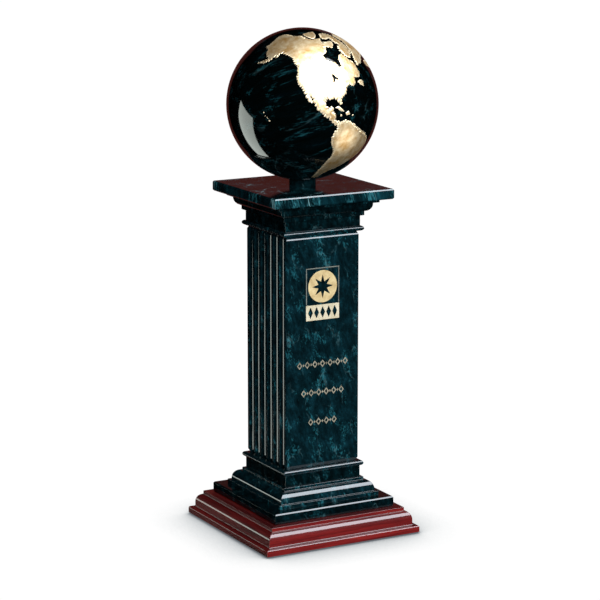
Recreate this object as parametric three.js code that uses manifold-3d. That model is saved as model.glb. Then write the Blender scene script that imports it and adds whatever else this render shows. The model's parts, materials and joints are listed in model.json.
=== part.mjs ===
// A column trophy: a moulded wood base, a polished marble column built up from stacked blocks on one
// tie rod, and a marble globe with a gilded map. Millimetres, +Z up, the decorated face towards -Y.
import * as THREE from "three";
import { mergeVertices } from "three/addons/utils/BufferGeometryUtils.js";
import Module from "manifold-3d";

const wasm = await Module();
wasm.setup();

// ---- Driving dimensions --------------------------------------------------------------------------
// Half widths are measured from the centre line to a face of the square stack.
const FELT_THICK = 1.0;
const FELT_HALF = 73.0;
const FELT_CORNER = 3.0;

const WOOD_HALF = 76.2; // a 152.4 mm square base
const WOOD_TOP = 22.6;
const WOOD_FOOT_TOP = 6.9; // top of the square foot of the moulding
const WOOD_STEP_HALF = 71.6;
const WOOD_ROUND_START = 11.65; // where the quarter round leaves the upright face
const WOOD_ROUND_TOP = 19.3;
const WOOD_TOP_HALF = 66.1;
const CORE_HALF = 56.0; // the board inside the four mitred rails

const PLINTH_TOP = 31.9;
const PLINTH_HALF = 59.2;
const BASE_FILLET_TOP = 35.7;
const BASE_FILLET_HALF = 49.6;
const BASE_OVOLO_START = 37.2;
const BASE_OVOLO_HALF = 47.0;
const BASE_OVOLO_TOP = 45.2;
const BASE_UPPER_FILLET_HALF = 39.8;
const BASE_MOULDING_TOP = 47.8;
const BASE_NECK_HALF = 37.3;
const BASE_NECK_TOP = 58.0;
const BEAD_HEIGHT = 4.6;
const BASE_BEAD_REACH = 39.85;

const SHAFT_HALF = 36.4;
const SHAFT_BOTTOM = BASE_NECK_TOP + BEAD_HEIGHT;
const SHAFT_TOP = 268.7;
const SHAFT_END_CHAMFER = 1.6;
const SHAFT_END_CHAMFER_HEIGHT = 3.3; // the ends of the shaft are sloped steeply, not at 45 degrees
const SHAFT_ARRIS = 0.8;
const FLUTES = 6;
const FLUTE_WIDTH = 7.3;
const FLUTE_DEPTH = 2.4;

const CAPITAL_BEAD_REACH = 39.5;
const CAPITAL_NECK_HALF = 36.8;
const CAPITAL_NECK_TOP = 282.4;
const CAPITAL_FILLET_HALF = 39.5;
const CAPITAL_FILLET_TOP = 286.2;
const CAPITAL_OVOLO_TOP = 292.8;
const CAPITAL_OVOLO_REACH = 45.0;
const CAPITAL_UPPER_FILLET_BOTTOM = 294.3;
const CAPITAL_UPPER_FILLET_HALF = 49.1;
const CAPITAL_MOULDING_TOP = 297.8;
const SLAB_HALF = 58.2;
const SLAB_TOP = 306.7;
const EDGE_CHAMFER = 0.9; // the polished arris of the flat marble plates

const GLOBE_RADIUS = 65.9;
const GLOBE_CENTRE = 377.1;
const GLOBE_SEAT_RADIUS = 11.4; // the flat ground on the ball where it rests on the collar
const COLLAR_FOOT_RADIUS = 11.7;
const COLLAR_TOP_RADIUS = 10.9;
const BALL_DETAIL = 5; // how finely the ball is faceted

const BORE_RADIUS = 4.8;
const ROD_RADIUS = 4.0;
const ROD_BOTTOM = 3.4;
const RECESS_RADIUS = 15.0; // the pocket under the base for the nut and washers
const RECESS_TOP = 12.0;
const WASHER_THICK = 1.6;
const WASHER_RADIUS = 12.0;
const SPRING_WASHER_THICK = 1.9;
const SPRING_WASHER_RADIUS = 7.2;
const NUT_HEIGHT = 4.5;
const NUT_CORNER_RADIUS = 7.5; // across corners of an M8 nut, halved
const INSERT_RADIUS = 6.5;
const INSERT_LENGTH = 22.0;

const RECESS_DEPTH = 0.8; // how deep the map is sunk into the ball
const LEAF_THICK = 0.6;
const LEAF_CLEARANCE = 0.05;
const LEAF_SIDE_GAP = 0.15;
const PANEL_DEPTH = 0.5; // how deep the decoration is sunk into the front face
const PANEL_LEAF = 0.35;
const PANEL_SIDE_GAP = 0.08;

// The map's own poles lean towards the front and the ball is turned a little about them.
const MAP_LEAN = THREE.MathUtils.degToRad(19);
const MAP_TURN = THREE.MathUtils.degToRad(-8);

// ---- Finishes ------------------------------------------------------------------------------------
const MARBLE = { color: 0x0b2c33, roughness: 0.08, metalness: 0 };
const GOLD = { color: 0xd9b566, roughness: 0.35, metalness: 1 };
const WOOD = { color: 0x6e2420, roughness: 0.25, metalness: 0 };
const BOARD = { color: 0x8a6a45, roughness: 0.8, metalness: 0 };
const FELT = { color: 0x1d3b2a, roughness: 1, metalness: 0 };
const STEEL = { color: 0xb9bcc0, roughness: 0.35, metalness: 1 };
const BRASS = { color: 0xb8923f, roughness: 0.35, metalness: 1 };

// ---- Helpers -------------------------------------------------------------------------------------
const trophy = new THREE.Group();
trophy.name = "column_trophy";

// A three.js geometry as a solid for the boolean operations, turned outwards if need be.
function solid(geometry) {
  const bare = geometry.clone();
  bare.deleteAttribute("normal");
  bare.deleteAttribute("uv");
  const merged = mergeVertices(bare, 1e-4);
  const triVerts = new Uint32Array(merged.index.array);
  const vertProperties = merged.attributes.position.array;
  const made = new wasm.Manifold(new wasm.Mesh({ numProp: 3, vertProperties, triVerts }));
  if (made.volume() > 0) return made;
  triVerts.reverse();
  return new wasm.Manifold(new wasm.Mesh({ numProp: 3, vertProperties, triVerts }));
}

function addNode(name, body, finish) {
  const result = body.getMesh();
  const geometry = new THREE.BufferGeometry();
  geometry.setAttribute("position", new THREE.BufferAttribute(result.vertProperties, 3));
  geometry.setIndex(new THREE.BufferAttribute(result.triVerts, 1));
  geometry.computeVertexNormals();
  const mesh = new THREE.Mesh(geometry, new THREE.MeshStandardMaterial(finish));
  mesh.name = name;
  trophy.add(mesh);
}

const at = (x, y) => new THREE.Vector2(x, y);

// A profile of [half width or radius, height] pairs turned about the centre line.
function turned(profile, segments) {
  const geometry = new THREE.LatheGeometry(profile, segments);
  return solid(geometry.rotateX(Math.PI / 2));
}

// The same for a square stack: four sides, with the corners on the diagonals.
function squareTurned(profile) {
  const corners = profile.map((p) => at(p.x * Math.SQRT2, p.y));
  const geometry = new THREE.LatheGeometry(corners, 4, Math.PI / 4);
  return solid(geometry.rotateX(Math.PI / 2));
}

function cylinder(radius, bottom, top, segments = 24) {
  return turned([at(0, bottom), at(radius, bottom), at(radius, top), at(0, top)], segments);
}

// Points along a quarter of an ellipse, the first one left out, between two angles.
function arcPoints(cx, cy, rx, ry, from, to, steps) {
  return Array.from({ length: steps }, (_, i) => {
    const a = THREE.MathUtils.lerp(from, to, (i + 1) / steps);
    return at(cx + rx * Math.cos(a), cy + ry * Math.sin(a));
  });
}

const bore = cylinder(BORE_RADIUS, -10, GLOBE_CENTRE);

// A flat square plate with a small chamfer round both faces.
function plate(half, bottom, top, chamfer, chamferHeight = chamfer) {
  const profile = [
    at(0, bottom),
    at(half - chamfer, bottom),
    at(half, bottom + chamferHeight),
    at(half, top - chamferHeight),
    at(half - chamfer, top),
    at(0, top),
  ];
  return squareTurned(profile).subtract(bore);
}

// A square block between two beads.
function block(half, bottom, top) {
  return squareTurned([at(0, bottom), at(half, bottom), at(half, top), at(0, top)]).subtract(bore);
}

// A half-round bead round the square stack.
function bead(innerHalf, reach, bottom) {
  const mid = bottom + BEAD_HEIGHT / 2;
  const profile = [
    at(0, bottom),
    at(innerHalf, bottom),
    ...arcPoints(innerHalf, mid, reach - innerHalf, BEAD_HEIGHT / 2, -Math.PI / 2, Math.PI / 2, 10),
    at(0, bottom + BEAD_HEIGHT),
  ];
  return squareTurned(profile).subtract(bore);
}

// ---- Wood base -----------------------------------------------------------------------------------
function feltPad() {
  const shape = new THREE.Shape();
  const h = FELT_HALF;
  const r = FELT_CORNER;
  shape.absarc(h - r, -h + r, r, -Math.PI / 2, 0, false);
  shape.absarc(h - r, h - r, r, 0, Math.PI / 2, false);
  shape.absarc(-h + r, h - r, r, Math.PI / 2, Math.PI, false);
  shape.absarc(-h + r, -h + r, r, Math.PI, Math.PI * 1.5, false);
  const geometry = new THREE.ExtrudeGeometry(shape, {
    depth: FELT_THICK,
    bevelEnabled: false,
    curveSegments: 4,
  });
  return solid(geometry);
}

// One moulded rail, mitred at both ends: its section runs between the two diagonal planes.
function rail() {
  const section = new THREE.Shape();
  section.moveTo(CORE_HALF, FELT_THICK);
  section.lineTo(WOOD_HALF - 0.5, FELT_THICK);
  section.lineTo(WOOD_HALF, FELT_THICK + 0.5);
  section.lineTo(WOOD_HALF, WOOD_FOOT_TOP - 0.5);
  section.lineTo(WOOD_HALF - 0.5, WOOD_FOOT_TOP);
  section.lineTo(WOOD_STEP_HALF + 1.0, WOOD_FOOT_TOP);
  section.lineTo(WOOD_STEP_HALF, WOOD_FOOT_TOP + 1.0);
  section.lineTo(WOOD_STEP_HALF, WOOD_ROUND_START);
  section.absellipse(
    WOOD_TOP_HALF,
    WOOD_ROUND_START,
    WOOD_STEP_HALF - WOOD_TOP_HALF,
    WOOD_ROUND_TOP - WOOD_ROUND_START,
    0,
    Math.PI / 2,
    false,
  );
  section.lineTo(WOOD_TOP_HALF, WOOD_TOP - 0.4);
  section.lineTo(WOOD_TOP_HALF - 0.4, WOOD_TOP);
  section.lineTo(CORE_HALF, WOOD_TOP);
  const geometry = new THREE.ExtrudeGeometry(section, {
    depth: 1,
    bevelEnabled: false,
    curveSegments: 8,
  });
  const p = geometry.attributes.position;
  for (let i = 0; i < p.count; i++) {
    p.setXYZ(i, (1 - 2 * p.getZ(i)) * p.getX(i), -p.getX(i), p.getY(i));
  }
  return geometry;
}

addNode("felt_pad", feltPad(), FELT);
["front", "right", "back", "left"].forEach((side, i) => {
  addNode("wood_rail_" + side, solid(rail().rotateZ((i * Math.PI) / 2)), WOOD);
});
const coreBoard = block(CORE_HALF, FELT_THICK, WOOD_TOP).subtract(
  cylinder(RECESS_RADIUS, -1, RECESS_TOP),
);
addNode("wood_core_board", coreBoard, BOARD);

// ---- Marble column, from the plinth up -----------------------------------------------------------
addNode("plinth_slab", plate(PLINTH_HALF, WOOD_TOP, PLINTH_TOP, EDGE_CHAMFER), MARBLE);

const baseMoulding = squareTurned([
  at(0, PLINTH_TOP),
  at(BASE_FILLET_HALF, PLINTH_TOP),
  at(BASE_FILLET_HALF, BASE_FILLET_TOP),
  at(BASE_OVOLO_HALF, BASE_FILLET_TOP),
  at(BASE_OVOLO_HALF, BASE_OVOLO_START),
  ...arcPoints(
    BASE_UPPER_FILLET_HALF + 0.6,
    BASE_OVOLO_START,
    BASE_OVOLO_HALF - BASE_UPPER_FILLET_HALF - 0.6,
    BASE_OVOLO_TOP - BASE_OVOLO_START,
    0,
    Math.PI / 2,
    8,
  ),
  at(BASE_UPPER_FILLET_HALF, BASE_OVOLO_TOP),
  at(BASE_UPPER_FILLET_HALF, BASE_MOULDING_TOP),
  at(0, BASE_MOULDING_TOP),
]);
addNode("base_moulding", baseMoulding.subtract(bore), MARBLE);
addNode("base_neck_block", block(BASE_NECK_HALF, BASE_MOULDING_TOP, BASE_NECK_TOP), MARBLE);
addNode("base_bead", bead(BASE_NECK_HALF, BASE_BEAD_REACH, BASE_NECK_TOP), MARBLE);

// The shaft's plan: plain front and back, six flutes between seven flat fillets on each side.
function shaftPlan() {
  const half = SHAFT_HALF;
  const c = SHAFT_ARRIS;
  const fillet = (2 * half - FLUTES * FLUTE_WIDTH) / (FLUTES + 1);
  const radius = (FLUTE_WIDTH ** 2 / 4 + FLUTE_DEPTH ** 2) / (2 * FLUTE_DEPTH);
  const open = Math.asin(FLUTE_WIDTH / 2 / radius);
  const centre = half + radius - FLUTE_DEPTH;
  const plan = new THREE.Shape();
  plan.moveTo(-half + c, -half);
  plan.lineTo(half - c, -half);
  plan.lineTo(half, -half + c);
  for (let i = 0; i < FLUTES; i++) {
    const y = -half + fillet + FLUTE_WIDTH / 2 + i * (fillet + FLUTE_WIDTH);
    plan.absarc(centre, y, radius, Math.PI + open, Math.PI - open, true);
  }
  plan.lineTo(half, half - c);
  plan.lineTo(half - c, half);
  plan.lineTo(-half + c, half);
  plan.lineTo(-half, half - c);
  for (let i = FLUTES - 1; i >= 0; i--) {
    const y = -half + fillet + FLUTE_WIDTH / 2 + i * (fillet + FLUTE_WIDTH);
    plan.absarc(-centre, y, radius, open, -open, true);
  }
  plan.lineTo(-half, -half + c);
  return plan;
}

const shaftBlank = new THREE.ExtrudeGeometry(shaftPlan(), {
  depth: SHAFT_TOP - SHAFT_BOTTOM,
  bevelEnabled: false,
  curveSegments: 6,
}).translate(0, 0, SHAFT_BOTTOM);
let shaft = solid(shaftBlank).intersect(
  plate(SHAFT_HALF, SHAFT_BOTTOM, SHAFT_TOP, SHAFT_END_CHAMFER, SHAFT_END_CHAMFER_HEIGHT),
);

// ---- Sunk and gilded decoration on the front face ------------------------------------------------
// Moves every side of a closed outline inwards by d (outwards if d is negative).
function inset(outline, d) {
  const points = THREE.ShapeUtils.isClockWise(outline) ? [...outline].reverse() : outline;
  return points.map((p, i) => {
    const before = points[(i + points.length - 1) % points.length];
    const after = points[(i + 1) % points.length];
    const a = p.clone().sub(before).normalize();
    const b = after.clone().sub(p).normalize();
    const bisector = at(-a.y - b.y, a.x + b.x).normalize();
    const stretch = Math.max(0.45, bisector.dot(at(-a.y, a.x)));
    return p.clone().addScaledVector(bisector, d / stretch);
  });
}

function outlineShape(outline, holes, gap) {
  const shape = new THREE.Shape(inset(outline, gap));
  shape.holes = holes.map((hole) => new THREE.Path(inset(hole, -gap)));
  return shape;
}

// A figure given by x, z outlines, standing on the pocket's floor and thick towards the front.
function frontFigure(outline, holes, thick, gap) {
  const geometry = new THREE.ExtrudeGeometry(outlineShape(outline, holes, gap), {
    depth: thick,
    bevelEnabled: false,
  });
  return solid(geometry.rotateX(Math.PI / 2).translate(0, -SHAFT_HALF + PANEL_DEPTH, 0));
}

// Sinks the pieces of a figure into the shaft and gilds them as one node.
function gildFront(name, pieces) {
  const joined = (thick, gap) =>
    pieces
      .map(([outline, holes]) => frontFigure(outline, holes, thick, gap))
      .reduce((all, next) => all.add(next));
  shaft = shaft.subtract(joined(PANEL_DEPTH + 1, 0));
  addNode(name, joined(PANEL_LEAF, PANEL_SIDE_GAP), GOLD);
}

function rectangle(x0, z0, x1, z1) {
  return [at(x0, z0), at(x1, z0), at(x1, z1), at(x0, z1)];
}

function lozenge(x, z, halfWide, halfHigh) {
  return [at(x - halfWide, z), at(x, z - halfHigh), at(x + halfWide, z), at(x, z + halfHigh)];
}

function star(z, points, outer, inner) {
  return Array.from({ length: 2 * points }, (_, i) => {
    const a = Math.PI / 2 + (i * Math.PI) / points;
    const r = i % 2 ? inner : outer;
    return at(r * Math.cos(a), z + r * Math.sin(a));
  });
}

const FRAME_HALF = 16.5;
const FRAME_TOP = 239.8;
const FRAME_LINE = 1.1;
const BAR_TOP = 207.1;
const BAR_BOTTOM = 193.4;
const MEDAL_CENTRE = 223.0;
const MEDAL_RADIUS = 14.3;

const frameOutline = [
  at(-FRAME_HALF, BAR_TOP + 0.4),
  at(-FRAME_HALF + FRAME_LINE, BAR_TOP + 0.4),
  at(-FRAME_HALF + FRAME_LINE, FRAME_TOP - FRAME_LINE),
  at(FRAME_HALF - FRAME_LINE, FRAME_TOP - FRAME_LINE),
  at(FRAME_HALF - FRAME_LINE, BAR_TOP + 0.4),
  at(FRAME_HALF, BAR_TOP + 0.4),
  at(FRAME_HALF, FRAME_TOP),
  at(-FRAME_HALF, FRAME_TOP),
];
gildFront("front_frame", [[frameOutline, []]]);

// The medal: a disc with an eight-pointed star left standing in marble.
const medalOutline = arcPoints(0, MEDAL_CENTRE, MEDAL_RADIUS, MEDAL_RADIUS, 0, 2 * Math.PI, 40);
gildFront("front_medal", [[medalOutline, [star(MEDAL_CENTRE, 8, 10.2, 4.4)]]]);

// The bar under it: five upright lozenges left standing in marble.
const barHoles = [-2, -1, 0, 1, 2].map((i) => lozenge(i * 6, (BAR_TOP + BAR_BOTTOM) / 2, 2.3, 4.9));
gildFront("front_bar", [[rectangle(-FRAME_HALF, BAR_BOTTOM, FRAME_HALF, BAR_TOP), barHoles]]);

// An ornamental rule: open lozenges strung along a thin line, with a small solid one between them.
const RULE_HALF_HIGH = 3.5;
const RULE_LINE = 0.9;
function rule(name, z, width, lozenges) {
  const pitch = (width - 5.6) / (lozenges - 1);
  const centres = Array.from({ length: lozenges }, (_, i) => (i - (lozenges - 1) / 2) * pitch);
  const open = centres.map((x) => [
    lozenge(x, z, 2.8, RULE_HALF_HIGH),
    [lozenge(x, z, 1.3, RULE_HALF_HIGH - 1.85)],
  ]);
  const links = centres.slice(1).map((x) => {
    const from = x - pitch + 2.4;
    const to = x - 2.4;
    return [rectangle(from, z - RULE_LINE / 2, to, z + RULE_LINE / 2), []];
  });
  const small = centres.slice(1).map((x) => [lozenge(x - pitch / 2, z, 1.0, 1.7), []]);
  gildFront(name, [...open, ...links, ...small]);
}
rule("front_rule_top", 154.5, 51, 7);
rule("front_rule_middle", 129.3, 43, 6);
rule("front_rule_bottom", 103.0, 29, 4);
addNode("shaft", shaft, MARBLE);

// ---- Capital -------------------------------------------------------------------------------------
const capitalNeckBottom = SHAFT_TOP + BEAD_HEIGHT;
addNode("capital_bead", bead(SHAFT_HALF, CAPITAL_BEAD_REACH, SHAFT_TOP), MARBLE);
addNode("capital_neck_block", block(CAPITAL_NECK_HALF, capitalNeckBottom, CAPITAL_NECK_TOP), MARBLE);
const capitalMoulding = squareTurned([
  at(0, CAPITAL_NECK_TOP),
  at(CAPITAL_FILLET_HALF, CAPITAL_NECK_TOP),
  at(CAPITAL_FILLET_HALF, CAPITAL_FILLET_TOP),
  ...arcPoints(
    CAPITAL_FILLET_HALF,
    CAPITAL_OVOLO_TOP,
    CAPITAL_OVOLO_REACH - CAPITAL_FILLET_HALF,
    CAPITAL_OVOLO_TOP - CAPITAL_FILLET_TOP,
    -Math.PI / 2,
    0,
    8,
  ),
  at(CAPITAL_OVOLO_REACH, CAPITAL_UPPER_FILLET_BOTTOM),
  at(CAPITAL_UPPER_FILLET_HALF, CAPITAL_UPPER_FILLET_BOTTOM),
  at(CAPITAL_UPPER_FILLET_HALF, CAPITAL_MOULDING_TOP),
  at(0, CAPITAL_MOULDING_TOP),
]);
addNode("capital_moulding", capitalMoulding.subtract(bore), MARBLE);
addNode("top_slab", plate(SLAB_HALF, CAPITAL_MOULDING_TOP, SLAB_TOP, EDGE_CHAMFER), MARBLE);

// ---- Collar and globe ----------------------------------------------------------------------------
const seatDrop = Math.sqrt(GLOBE_RADIUS ** 2 - GLOBE_SEAT_RADIUS ** 2);
const seatHeight = GLOBE_CENTRE - seatDrop; // where the flat ground on the ball meets the collar
const collar = turned(
  [
    at(0, SLAB_TOP),
    at(COLLAR_FOOT_RADIUS, SLAB_TOP),
    at(COLLAR_FOOT_RADIUS, SLAB_TOP + 2.6),
    ...arcPoints(
      COLLAR_TOP_RADIUS,
      SLAB_TOP + 2.6,
      COLLAR_FOOT_RADIUS - COLLAR_TOP_RADIUS,
      seatHeight - SLAB_TOP - 2.6,
      0,
      Math.PI / 2,
      3,
    ),
    at(0, seatHeight),
  ],
  32,
);
addNode("globe_collar", collar.subtract(bore), MARBLE);

function ball(radius) {
  const geometry = new THREE.IcosahedronGeometry(radius, BALL_DETAIL);
  return solid(geometry.translate(0, 0, GLOBE_CENTRE));
}

const seatCut = cylinder(GLOBE_SEAT_RADIUS + 3, SLAB_TOP - 5, seatHeight, 48);
const insertHole = cylinder(INSERT_RADIUS + 0.1, SLAB_TOP, seatHeight + INSERT_LENGTH + 1);
let globe = ball(GLOBE_RADIUS).subtract(seatCut).subtract(insertHole);

const pocketFloor = ball(GLOBE_RADIUS - RECESS_DEPTH);
const leafFloor = ball(GLOBE_RADIUS - RECESS_DEPTH + LEAF_CLEARANCE);
const leafFace = ball(GLOBE_RADIUS - RECESS_DEPTH + LEAF_CLEARANCE + LEAF_THICK);

// The direction of a map position, given as [latitude, longitude] in degrees.
const mapTurn = new THREE.Matrix4().makeRotationX(MAP_LEAN);
mapTurn.multiply(new THREE.Matrix4().makeRotationZ(MAP_TURN));
function mapDirection([latitude, longitude]) {
  const up = THREE.MathUtils.degToRad(latitude);
  const round = THREE.MathUtils.degToRad(longitude);
  const d = new THREE.Vector3(
    Math.cos(up) * Math.cos(round),
    Math.cos(up) * Math.sin(round),
    Math.sin(up),
  );
  return d.applyMatrix4(mapTurn);
}

// The direction from which no point of a coast is further off than it must be.
function middleOf(rim) {
  const middle = rim[0].clone();
  for (let i = 1; i < 60; i++) {
    const far = rim.reduce((a, b) => (b.dot(middle) < a.dot(middle) ? b : a));
    middle.lerp(far, 1 / (i + 1)).normalize();
  }
  return middle;
}

// The solid wedge from near the ball's centre out through a coastline. The coast is drawn flat on a
// plane that touches the ball above its middle, where great circles are straight lines.
function wedge(coast, lakes, gap) {
  const rim = coast.map(mapDirection);
  const middle = middleOf(rim);
  const helper = Math.abs(middle.z) < 0.9 ? new THREE.Vector3(0, 0, 1) : new THREE.Vector3(1, 0, 0);
  const east = new THREE.Vector3().crossVectors(helper, middle).normalize();
  const north = new THREE.Vector3().crossVectors(middle, east);
  const flat = (d) => at(d.dot(east) / d.dot(middle), d.dot(north) / d.dot(middle));
  const outline = rim.map(flat);
  const holes = lakes.map((lake) => lake.map(mapDirection).map(flat));
  const geometry = new THREE.ExtrudeGeometry(outlineShape(outline, holes, gap / GLOBE_RADIUS), {
    depth: 1,
    bevelEnabled: false,
  });
  const p = geometry.attributes.position;
  const v = new THREE.Vector3();
  for (let i = 0; i < p.count; i++) {
    v.copy(middle).addScaledVector(east, p.getX(i)).addScaledVector(north, p.getY(i));
    v.multiplyScalar(p.getZ(i) > 0.5 ? GLOBE_RADIUS + 2 : 5);
    p.setXYZ(i, v.x, v.y, v.z + GLOBE_CENTRE);
  }
  return solid(geometry);
}

// Sinks a stretch of land into the ball and gilds it.
function gildLand(name, coast, lakes = []) {
  globe = globe.subtract(wedge(coast, lakes, 0).subtract(pocketFloor));
  const leaf = wedge(coast, lakes, LEAF_SIDE_GAP).intersect(leafFace).subtract(leafFloor);
  addNode("map_" + name, leaf, GOLD);
}

// A small round island.
function dot(latitude, longitude, size) {
  return Array.from({ length: 8 }, (_, i) => {
    const a = (i * Math.PI) / 4;
    const wide = size / Math.cos(THREE.MathUtils.degToRad(latitude));
    return [latitude + size * Math.sin(a), longitude + wide * Math.cos(a)];
  });
}

const ARCTIC_COAST = [
  [49, -173], [52, -177], [52, 175], [55, 174], [59, 170], [63, 161], [67, 158], [71, 164],
  [74, 180], [79, -176], [79, -148], [80, -125], [82, -103], [83, -82], [77, -83], [78, -68],
  [76, -42], [73, -53], [71, -65],
];
const ATLANTIC_COAST = [
  [73, -82], [67, -85], [64, -94], [60, -89], [58, -80], [56, -75], [52, -75], [54, -69],
  [59, -69], [63, -62], [63, -54], [60, -52], [55, -50], [54, -46], [49, -47], [44, -48],
  [42, -51], [43, -59], [39, -60], [37, -65], [39, -68], [37, -73], [34, -74], [32, -76],
];
const GULF_COAST = [
  [29, -80], [25, -80], [26, -82.5], [29, -84], [30, -87], [29, -89], [30, -93], [27, -95],
  [24, -94], [22, -92], [24, -89], [20, -88], [18, -86], [14, -86], [12, -83],
];
const SOUTHERN_COAST = [
  [12, -80], [13, -78], [12, -73], [9, -69], [5, -64], [2, -60], [-1, -55], [-7, -49],
  [-12, -48], [-16, -50], [-20, -52], [-23, -57], [-26, -63], [-29, -68], [-32, -72], [-34, -77],
  [-39, -82], [-49, -85], [-46, -90], [-33, -89], [-23, -86], [-16, -83], [-11, -83], [-6, -86],
  [-1, -87], [4, -86], [6, -84], [8, -83], [10, -84],
];
const PACIFIC_COAST = [
  [11, -87], [13, -89], [16, -91], [16, -94], [19, -97], [20, -99], [23, -102], [25, -103.5],
  [28.5, -105.5], [32, -109.5], [29, -107.7], [26, -105.4], [25.5, -107], [28, -110], [31, -112],
  [33, -114], [36, -117], [38, -121], [42, -123], [46, -124], [49, -126], [51, -126], [52, -130],
  [56, -137], [57, -143], [57, -150], [57, -155], [55, -157], [51, -156], [52, -160], [46.5, -161],
  [43, -164], [39, -172], [44, -167], [48, -164], [48, -170],
];
const GREAT_LAKES = [
  [48, -86.5], [47.5, -84], [45.5, -82], [44.5, -79], [43.5, -80.5], [44, -83], [42, -84.5],
  [42, -86], [45, -85.5], [46, -86.5],
];
gildLand(
  "americas",
  [...ARCTIC_COAST, ...ATLANTIC_COAST, ...GULF_COAST, ...SOUTHERN_COAST, ...PACIFIC_COAST],
  [GREAT_LAKES],
);
gildLand("arctic_isle", [
  [81, 168], [84, 151], [85, 88], [89, -69], [83.5, -105], [81.5, -124], [81.5, -150], [81, -176],
]);
gildLand("baffin_isle", [
  [84, -64], [86, 13], [81, 21], [77, 10], [74, -4], [69, -14], [65, -20], [61, -28], [57, -45],
  [60, -50], [65, -52], [70, -47], [70, -33], [74, -38], [77, -29], [79, -26], [81, -56],
]);
gildLand("greenland", [
  [74, 5], [68, -5], [65, -15], [60, -28], [55, -38], [50, -43], [49, -31], [50, -17], [46, 2],
  [54, 12], [62, 24], [70, 28],
]);
gildLand("newfoundland", [[39, -57], [40, -52], [38, -48], [34, -50], [36, -54]]);
gildLand("iceland", [[47, -18], [43, -6], [36, -4], [35, -9], [40, -17], [45, -22]]);
gildLand("cuba", [[23, -86.5], [24, -83], [22, -80], [19.5, -78], [20, -81], [22, -84]]);
gildLand("hispaniola", [[18.5, -77], [20, -74], [17, -72.5], [16.5, -76]]);
gildLand("jamaica", dot(17, -81, 0.9));
gildLand("puerto_rico", dot(16, -70, 0.8));
gildLand("hawaii_1", dot(10, -142, 0.7));
gildLand("hawaii_2", dot(8, -140, 0.6));
gildLand("hawaii_3", dot(7, -138, 0.6));
gildLand("hawaii_4", dot(5.5, -136, 0.9));

// The far side of the map.
gildLand("eurasia", [
  [36, 9], [37, 7], [43, 8], [43, 13], [48, 11], [50, 17], [53, 22], [56, 26], [54, 30],
  [57, 36], [60, 40], [57, 31], [60, 31], [62, 38], [63.5, 46], [64, 56], [61.5, 54], [64.5, 66],
  [64.5, 72], [63.5, 84], [61.5, 94], [58, 106], [53, 114], [49, 121], [46, 118], [49, 112],
  [47, 108], [42, 103], [35, 104],
  [39, 98], [37, 94], [31, 97], [23, 92], [21, 86], [14, 87], [9, 84], [13, 80], [4, 83],
  [9, 77], [16, 76], [22, 73], [16, 68], [8, 64], [19, 60], [24, 56], [26, 49], [30, 44],
  [25, 47], [22, 51], [13, 41], [28, 36], [36, 37], [37, 29], [40, 26], [37, 23], [42, 21],
  [45, 17], [40, 20], [38, 18], [44, 14.5], [41, 11.5],
]);
gildLand("africa", [
  [34, 4], [35, 11], [36, 17], [32, 17], [31, 23], [31, 33], [22, 35], [12, 40], [11, 49],
  [4, 46], [-5, 39], [-15, 40], [-20, 35], [-26, 34], [-34, 27], [-35, 22], [-28, 19],
  [-17, 15], [-6, 17], [4, 14], [5, 6], [5, -1], [9, -5], [15, -7], [21, -5], [28, -1],
]);
gildLand("australia", [
  [-22, 100], [-34, 102], [-32, 112], [-38, 130], [-37, 137], [-28, 141], [-19, 134], [-11, 130],
  [-17, 127], [-12, 121], [-14, 115], [-20, 107],
]);
gildLand("antarctica", [
  [-84, -82], [-79, -128], [-73, -155], [-76, 175], [-70, 150], [-67, 120], [-66, 90], [-67, 60],
  [-69, 30], [-71, 5], [-74, -20], [-78, -38],
]);
gildLand("madagascar", [[-12, 47], [-16, 48], [-25, 44], [-24, 41], [-17, 43]]);
gildLand("new_guinea", [[-1, 119], [-3, 129], [-9, 136], [-7, 127], [-5, 122]]);
gildLand("borneo", [[6, 101], [1, 103], [-4, 99], [1, 94]]);
gildLand("sumatra", [[4, 78], [-3, 87], [-6, 87], [1, 77]]);
gildLand("java", [[-8, 89], [-8.5, 98], [-10.5, 98], [-10, 89]]);
gildLand("honshu", [[42, 115], [36, 116], [33, 107], [36, 110]]);
gildLand("luzon", [[18, 98], [14, 101], [7, 104], [9, 101], [14, 98]]);
gildLand("new_zealand_north", [[-35, 158], [-38, 163], [-41, 160], [-39, 158]]);
gildLand("new_zealand_south", [[-42, 158], [-44, 157], [-47, 151], [-45, 150]]);
addNode("globe", globe, MARBLE);

// ---- Hardware that holds the stack together ------------------------------------------------------
const insert = cylinder(INSERT_RADIUS, seatHeight, seatHeight + INSERT_LENGTH);
addNode("globe_insert", insert.subtract(cylinder(ROD_RADIUS + 0.1, 0, GLOBE_CENTRE)), BRASS);
addNode("tie_rod", cylinder(ROD_RADIUS, ROD_BOTTOM, seatHeight + INSERT_LENGTH - 1), STEEL);

function ring(radius, hole, bottom, top, segments) {
  return cylinder(radius, bottom, top, segments).subtract(cylinder(hole, bottom - 1, top + 1));
}
const washerBottom = RECESS_TOP - WASHER_THICK;
const springBottom = washerBottom - SPRING_WASHER_THICK;
const nutBottom = springBottom - NUT_HEIGHT;
addNode("flat_washer", ring(WASHER_RADIUS, ROD_RADIUS + 0.3, washerBottom, RECESS_TOP, 24), STEEL);
addNode(
  "spring_washer",
  ring(SPRING_WASHER_RADIUS, ROD_RADIUS + 0.2, springBottom, washerBottom, 24),
  STEEL,
);
addNode("hex_nut", ring(NUT_CORNER_RADIUS, ROD_RADIUS + 0.1, nutBottom, springBottom, 6), STEEL);

export default trophy;
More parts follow.
